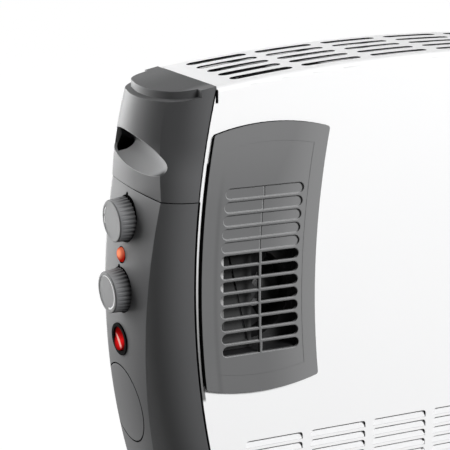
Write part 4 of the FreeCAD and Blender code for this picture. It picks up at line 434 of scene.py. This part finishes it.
gap_shade = level * height.rise(*split_bottom) * height.fall(*split_top) * (1 - scoop)
at_controls = (-along).rise(*control_end)
for seat, radius in ((selector_seat, knob_gap), (thermostat_seat, knob_gap), (lamp_seat, lamp_gap)):
    gap_shade = gap_shade.most(off_axis(deep, height, seat).fall(radius, radius + gap_edge) * at_controls)
cover_low, cover_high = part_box("timer_blank_cover")
cover_middle = (cover_low + cover_high) / 2
cover_radius = (cover_high.y - cover_low.y) / 2
cover_line = abs(off_axis(deep, height, cover_middle.yz) - cover_radius - cover_gap).fall(*cover_gap_width)
gap_shade = gap_shade.most(cover_line * at_controls)
cap_grey.mix(gap_shade, "ShaderNodeBsdfDiffuse", {"Color": (*gap_shade_black, 1)})
cap_grey.roughen(cap_grey.noise(800.0), least=0.43, most=0.55)
cap_grey.texture(per_metre=2200.0, strength=0.12, facing=facing)
wear(cap_grey, "left_handle_cap", "right_handle_cap")
wear(cap_grey, "left_control_panel", "right_end_cover", "timer_blank_cover")

# Switch bodies and the lamp holder: black mouldings behind the control panel.
# Steel shafts lead out of the selector and the thermostat to the knobs.
wear(black, "selector_switch", "thermostat", "pilot_lamp_holder")
wear(steel, "selector_shaft", "thermostat_shaft")

# Index marks: two black dots printed on the control panel, one above each knob.
# They show which way the knobs point.
ink_thickness = 0.0002
dot_radius, dot_edge = 0.002, 0.0003
selector_dot, thermostat_dot = (0.0145, 0.30355), (0.01833, 0.24001)
ink_black = Finish("black_ink", Roughness=0.8, Specular_IOR_Level=0.0)
ink_mottle = ink_black.noise(900.0)
ink_black.feed("Base Color", ink_black.blend(ink_mottle, (0.003, 0.003, 0.003), (0.007, 0.007, 0.007)))


def settle(item, name, finish, body):
    """Puts a finished piece's place into its mesh, dresses it and hangs it on a body."""
    bpy.ops.object.select_all(action="DESELECT")
    item.select_set(True)
    bpy.context.view_layer.objects.active = item
    bpy.ops.object.transform_apply(location=True, rotation=True, scale=True)
    item.name = name
    item.data.name = name
    item.data.materials.clear()
    item.data.materials.append(finish.material)
    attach(item, body)


def printed_dot(name, spot):
    """A flat round dot of ink with a soft edge, on the control panel at a depth and height."""
    bpy.context.view_layer.update()
    start = (cad_bounds[0].x, *spot)
    _, place, outward, _ = frame["nodes"]["left_control_panel"].ray_cast(start, (1, 0, 0))
    turn = outward.to_track_quat("Z", "Y").to_euler()
    bpy.ops.object.select_all(action="DESELECT")
    disc = {"vertices": 32, "radius": dot_radius, "fill_type": "NGON"}
    bpy.ops.mesh.primitive_circle_add(**disc, location=place, rotation=turn)
    dot = bpy.context.object
    bpy.ops.object.mode_set(mode="EDIT")
    bpy.ops.mesh.select_all(action="SELECT")
    bpy.ops.mesh.inset(thickness=dot_edge)
    bpy.ops.transform.translate(value=(0, 0, ink_thickness / 2), orient_type="LOCAL")
    bpy.ops.object.mode_set(mode="OBJECT")
    settle(dot, name, ink_black, "housing")


printed_dot("selector_index", selector_dot)
printed_dot("thermostat_index", thermostat_dot)

# The knobs: grey plastic dials with a fluted skirt, pushed on the shafts.
# The flat face is lighter, a satin lacquer with painted sheen; the skirt has painted shade in its flutes and
# painted light on its upper side.
# White print on the face gives the selector's steps and the thermostat's rising sweep.
joints = {joint["name"]: joint for joint in frame["joints"]}
knob_radius, knob_taper = 0.0192, 0.001 / 0.013
groove_depth, skirt_end, face_start = (0.0002, 0.001), (0.0115, 0.012), (0.0124, 0.0126)
top_light_turn, groove_shade_share = (0.1, 0.95), 0.8
skirt_rough, skirt_spread, lacquer_shine = 0.7, 0.12, 0.32
skirt_top_light, groove_shade_grey, lacquer_sheen_grey = (0.24, 0.241, 0.245), (0.07, 0.071, 0.073), (0.29, 0.291, 0.295)
for knob, joint_name in (("power_selector_knob", "selector_turn"), ("thermostat_knob", "thermostat_turn")):
    outward = -Vector(joints[joint_name]["axis"])
    knob_grey = Finish(knob + "_plastic", Specular_IOR_Level=0.2)
    off_seat = [axis - seat for axis, seat in zip(knob_grey.axes(), joints[joint_name]["pos_m"])]
    stand = sum(share * part for share, part in zip(outward, off_seat))
    radius = (sum(part * part for part in off_seat) - stand * stand) ** 0.5
    groove_shade = (knob_radius - knob_taper * stand - radius).rise(*groove_depth) * stand.fall(*skirt_end)
    lacquer_and_sheen = stand.rise(*face_start)
    _, _, upward = knob_grey.faces()
    skirt = knob_grey.blend(knob_grey.noise(60.0), (0.125, 0.127, 0.131), (0.14, 0.142, 0.146))
    skirt = knob_grey.blend(upward.rise(*top_light_turn), skirt, skirt_top_light)
    skirt = knob_grey.blend(groove_shade_share * groove_shade, skirt, groove_shade_grey)
    knob_grey.feed("Base Color", knob_grey.blend(lacquer_and_sheen, skirt, lacquer_sheen_grey))
    dullness = skirt_rough + skirt_spread * knob_grey.noise(900.0) - lacquer_shine * lacquer_and_sheen
    knob_grey.feed("Roughness", dullness)
    flat = knob_grey.node("ShaderNodeCombineXYZ", (), dict(zip("XYZ", outward)))
    facing = knob_grey.blend(lacquer_and_sheen, knob_grey.soft_edges(0.0003), flat)
    knob_grey.texture(per_metre=2500.0, strength=0.1, facing=facing)
    wear(knob_grey, knob)

dish_floor = 0.0127
mark_radius = 0.0148
# The white ink also glows a little, a painted light.
ink_white = Finish("white_ink", Roughness=0.5, Specular_IOR_Level=0.3, Emission_Strength=0.25)
print_and_glow_white = ink_white.blend(ink_white.noise(900.0), (0.8, 0.8, 0.8), (0.9, 0.9, 0.9))
ink_white.feed("Base Color", print_and_glow_white)
ink_white.feed("Emission Color", print_and_glow_white)


def dial_frame(joint):
    """The turn that lays a flat drawing on a dial's face, x to the front and y up."""
    outward = -Vector(joint["axis"])
    upward = Vector((0, 0, 1)) - outward * outward.z
    upward.normalize()
    return Matrix((upward.cross(outward), upward, outward)).transposed()


def printed_arc(name, joint, body, start, end, thin, thick):
    """A band of white ink round a dial, from one angle down to another, that widens from thin to thick."""
    turn = dial_frame(joint)
    centre = Vector(joint["pos_m"]) + turn @ Vector((0, 0, dish_floor))
    bpy.ops.object.select_all(action="DESELECT")
    bpy.ops.mesh.primitive_circle_add(vertices=180, radius=mark_radius, location=(0, 0, 0))
    band = bpy.context.object
    bpy.ops.object.mode_set(mode="EDIT")
    bpy.ops.mesh.select_all(action="SELECT")
    bpy.ops.mesh.extrude_edges_move()
    bpy.ops.object.mode_set(mode="OBJECT")
    for vertex in band.data.vertices:
        angle = math.degrees(math.atan2(vertex.co.y, vertex.co.x))
        share = min((start - angle) % 360 / (start - end), 1)
        if vertex.select:
            vertex.co *= 1 - (thin + (thick - thin) * share) / mark_radius
    for face in band.data.polygons:
        angle = math.degrees(math.atan2(face.center.y, face.center.x))
        face.select = (start - angle) % 360 > start - end
    bpy.ops.object.mode_set(mode="EDIT")
    bpy.ops.mesh.select_mode(type="FACE")
    bpy.ops.mesh.delete(type="FACE")
    bpy.ops.object.mode_set(mode="OBJECT")
    wall = band.modifiers.new("ink", "SOLIDIFY")
    wall.thickness = ink_thickness
    wall.offset = 0
    bpy.ops.object.modifier_apply(modifier=wall.name)
    band.matrix_world = Matrix.Translation(centre) @ turn.to_4x4()
    settle(band, name, ink_white, body)


selector, thermostat = joints["selector_turn"], joints["thermostat_turn"]
printed_arc("selector_step_1", selector, "selector_dial", start=163, end=135, thin=0.0009, thick=0.0011)
printed_arc("selector_step_2", selector, "selector_dial", start=197, end=174, thin=0.0009, thick=0.0011)
printed_arc("thermostat_sweep", thermostat, "thermostat_dial", start=116, end=-85, thin=0.0004, thick=0.0016)

# The pilot lamp: a domed lens of translucent orange plastic in front of a glowing neon lamp.
# It is pushed through the panel from behind and clipped into its holder.
lens_low, lens_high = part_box("pilot_lens")
lens_middle = (lens_low + lens_high) / 2
# The lens glows brightest a little to the front of and above its middle, a painted highlight.
highlight_offset, glow_reach = Vector((-0.0015, 0.0015)), (0.0009, 0.0064)
amber = Finish("lamp_lens", Roughness=0.3, Specular_IOR_Level=0.0, Emission_Strength=1.0)
_, deep, height = amber.axes()
rim = off_axis(deep, height, lens_middle.yz + highlight_offset).rise(*glow_reach)
amber.feed("Base Color", amber.blend(rim, (0.3, 0.05, 0.02), (0.12, 0.004, 0.002)))
amber.feed("Emission Color", amber.blend(rim, (0.95, 0.32, 0.17), (0.28, 0.006, 0.003)))
wear(amber, "pilot_lens")

# The rocker switch: a round black bezel snapped into the panel, with a glossy red paddle.
# The paddle rocks on two cross pins inside the bezel's barrel.
bezel_black = Finish("bezel_plastic", Specular_IOR_Level=0.01)
bezel_mottle = bezel_black.noise(80.0)
bezel_black.feed("Base Color", bezel_black.blend(bezel_mottle, (0.006, 0.006, 0.006), (0.012, 0.012, 0.012)))
bezel_black.roughen(bezel_black.noise(500.0), least=0.6, most=0.74)
bezel_black.texture(per_metre=2500.0, strength=0.08, facing=bezel_black.soft_edges(0.0004))
wear(bezel_black, "turbo_switch_body")

pivot = Vector(joints["turbo_press"]["pos_m"])
# Painted shade darkens the paddle at its rim and upper half, a painted highlight runs along its ridge, and
# it glows a little as painted light.
rim_shade, upper_shade = (0.004, 0.0105), (-0.001, 0.007)
ridge_slope, ridge_offset, ridge_width, ridge_reach = 1.6, 0.0045, (0.0008, 0.0036), (0.006, 0.0098)
paddle_red, paddle_shade, ridge_highlight_colour = (0.75, 0.012, 0.014), (0.25, 0.003, 0.003), (0.95, 0.5, 0.44)
red = Finish("rocker_red", Specular_IOR_Level=0.0, Emission_Strength=0.2)
_, deep, height = red.axes()
off_pivot = off_axis(deep, height, pivot.yz)
shade = off_pivot.rise(*rim_shade).most((height - pivot.z).rise(*upper_shade))
off_ridge = abs(deep - pivot.y - ridge_slope * (height - pivot.z) - ridge_offset)
ridge_highlight = off_ridge.fall(*ridge_width) * off_pivot.fall(*ridge_reach)
glow = red.blend(ridge_highlight, red.blend(shade, paddle_red, paddle_shade), ridge_highlight_colour)
red.feed("Base Color", glow)
red.feed("Emission Color", glow)
red.roughen(red.noise(700.0), least=0.2, most=0.28)
red.texture(per_metre=700.0, strength=0.05, facing=red.soft_edges(0.0004))
wear(red, "turbo_rocker")

# The mains inlet: a gland moulded in black plastic.
# It is pressed into the left end.
wear(black, "cord_gland")

# The feet: cap plastic mouldings screwed under the body, each with two rubber pads.
# The screws of the caps, the back and the feet are zinc plated steel.
wear(cap_grey, "left_foot", "right_foot")
rubber = Finish("pad_rubber", Specular_IOR_Level=0.2)
rubber.feed("Base Color", rubber.blend(rubber.noise(300.0), (0.012, 0.012, 0.012), (0.024, 0.024, 0.024)))
rubber.roughen(rubber.noise(900.0), least=0.75, most=0.9)
wear(rubber, "foot_pads")
wear(steel, "cap_screws", "rear_screws", "foot_screws")

# The studio: a grey paper floor that shows as white and keeps the heater's shadow, in a white surround.
# One large lamp stands at the right front and one at the left rear.
# A narrow upright lamp close to the left rear corner lights the edge of the left cap.
floor_white, floor_strength = 0.85, 1.17
fill_strength, backdrop_strength = 0.03, 1.0


def seen_ray(graph):
    """1 on the rays that show the background: to the camera, in a gloss, or through a lens."""
    kinds = ("Is Camera Ray", "Is Glossy Ray", "Is Transmission Ray")
    camera, glossy, transmission = (graph.node("ShaderNodeLightPath", output=kind) for kind in kinds)
    return camera.most(glossy).most(transmission)


bpy.ops.object.select_all(action="DESELECT")
bpy.ops.mesh.primitive_plane_add(size=14, location=(0, 0, 0))
floor = bpy.context.object
floor.name = "floor"
paper = Finish("floor_paper", Roughness=0.9, Specular_IOR_Level=0.1)
paper.feed("Base Color", paper.blend(paper.noise(2.0), (0.1, 0.1, 0.1), (0.12, 0.12, 0.12)))
paper.mix(floor_white * seen_ray(paper), "ShaderNodeEmission", {"Strength": floor_strength})
floor.data.materials.append(paper.material)

world = bpy.data.worlds.new("studio")
bpy.context.scene.world = world
world.use_nodes = True
surround = Graph(world.node_tree)
fill = surround.node("ShaderNodeBackground", (), {"Strength": fill_strength})
backdrop = surround.node("ShaderNodeBackground", (), {"Color": (1, 1, 1, 1), "Strength": backdrop_strength})
seen = surround.node("ShaderNodeMixShader", (), {0: seen_ray(surround), 1: fill, 2: backdrop})
surround.tree.links.new(seen.socket, surround.tree.nodes["World Output"].inputs["Surface"])


def lamp(name, place, aim, width, length, power):
    """A soft rectangular lamp turned towards a point."""
    light = bpy.data.lights.new(name, "AREA")
    light.shape = "RECTANGLE"
    light.size = width
    light.size_y = length
    light.energy = power
    item = bpy.data.objects.new(name, light)
    item.location = place
    item.rotation_euler = (Vector(aim) - Vector(place)).to_track_quat("-Z", "Y").to_euler()
    bpy.context.scene.collection.objects.link(item)


heater_middle, cap_edge = (0, 0, 0.25), (-0.29, 0.02, 0.4)
lamp("key_lamp", place=(0.9, -3.3, 1.95), aim=heater_middle, width=1.0, length=1.0, power=166)
lamp("left_lamp", place=(-1.6, 1.9, 1.1), aim=heater_middle, width=1.8, length=1.8, power=55)
lamp("left_card", place=(-0.44, 0.5, 0.45), aim=cap_edge, width=0.34, length=0.9, power=3.4)

# The camera stands in front of the control end, a little above the heater's top.
# Its long lens takes in the left half of the heater.
camera_place = (-0.700886, -1.105103, 0.580330)
camera_dip, camera_turn = 14.30792, 24.35570
camera = bpy.data.cameras.new("camera")
camera.sensor_width = 36
camera.lens = 115.548
view = bpy.data.objects.new("camera", camera)
view.location = camera_place
view.rotation_euler = Euler((math.radians(90 - camera_dip), 0, math.radians(-camera_turn)))
bpy.context.scene.collection.objects.link(view)
bpy.context.scene.camera = view
bpy.context.scene.view_settings.view_transform = "Standard"
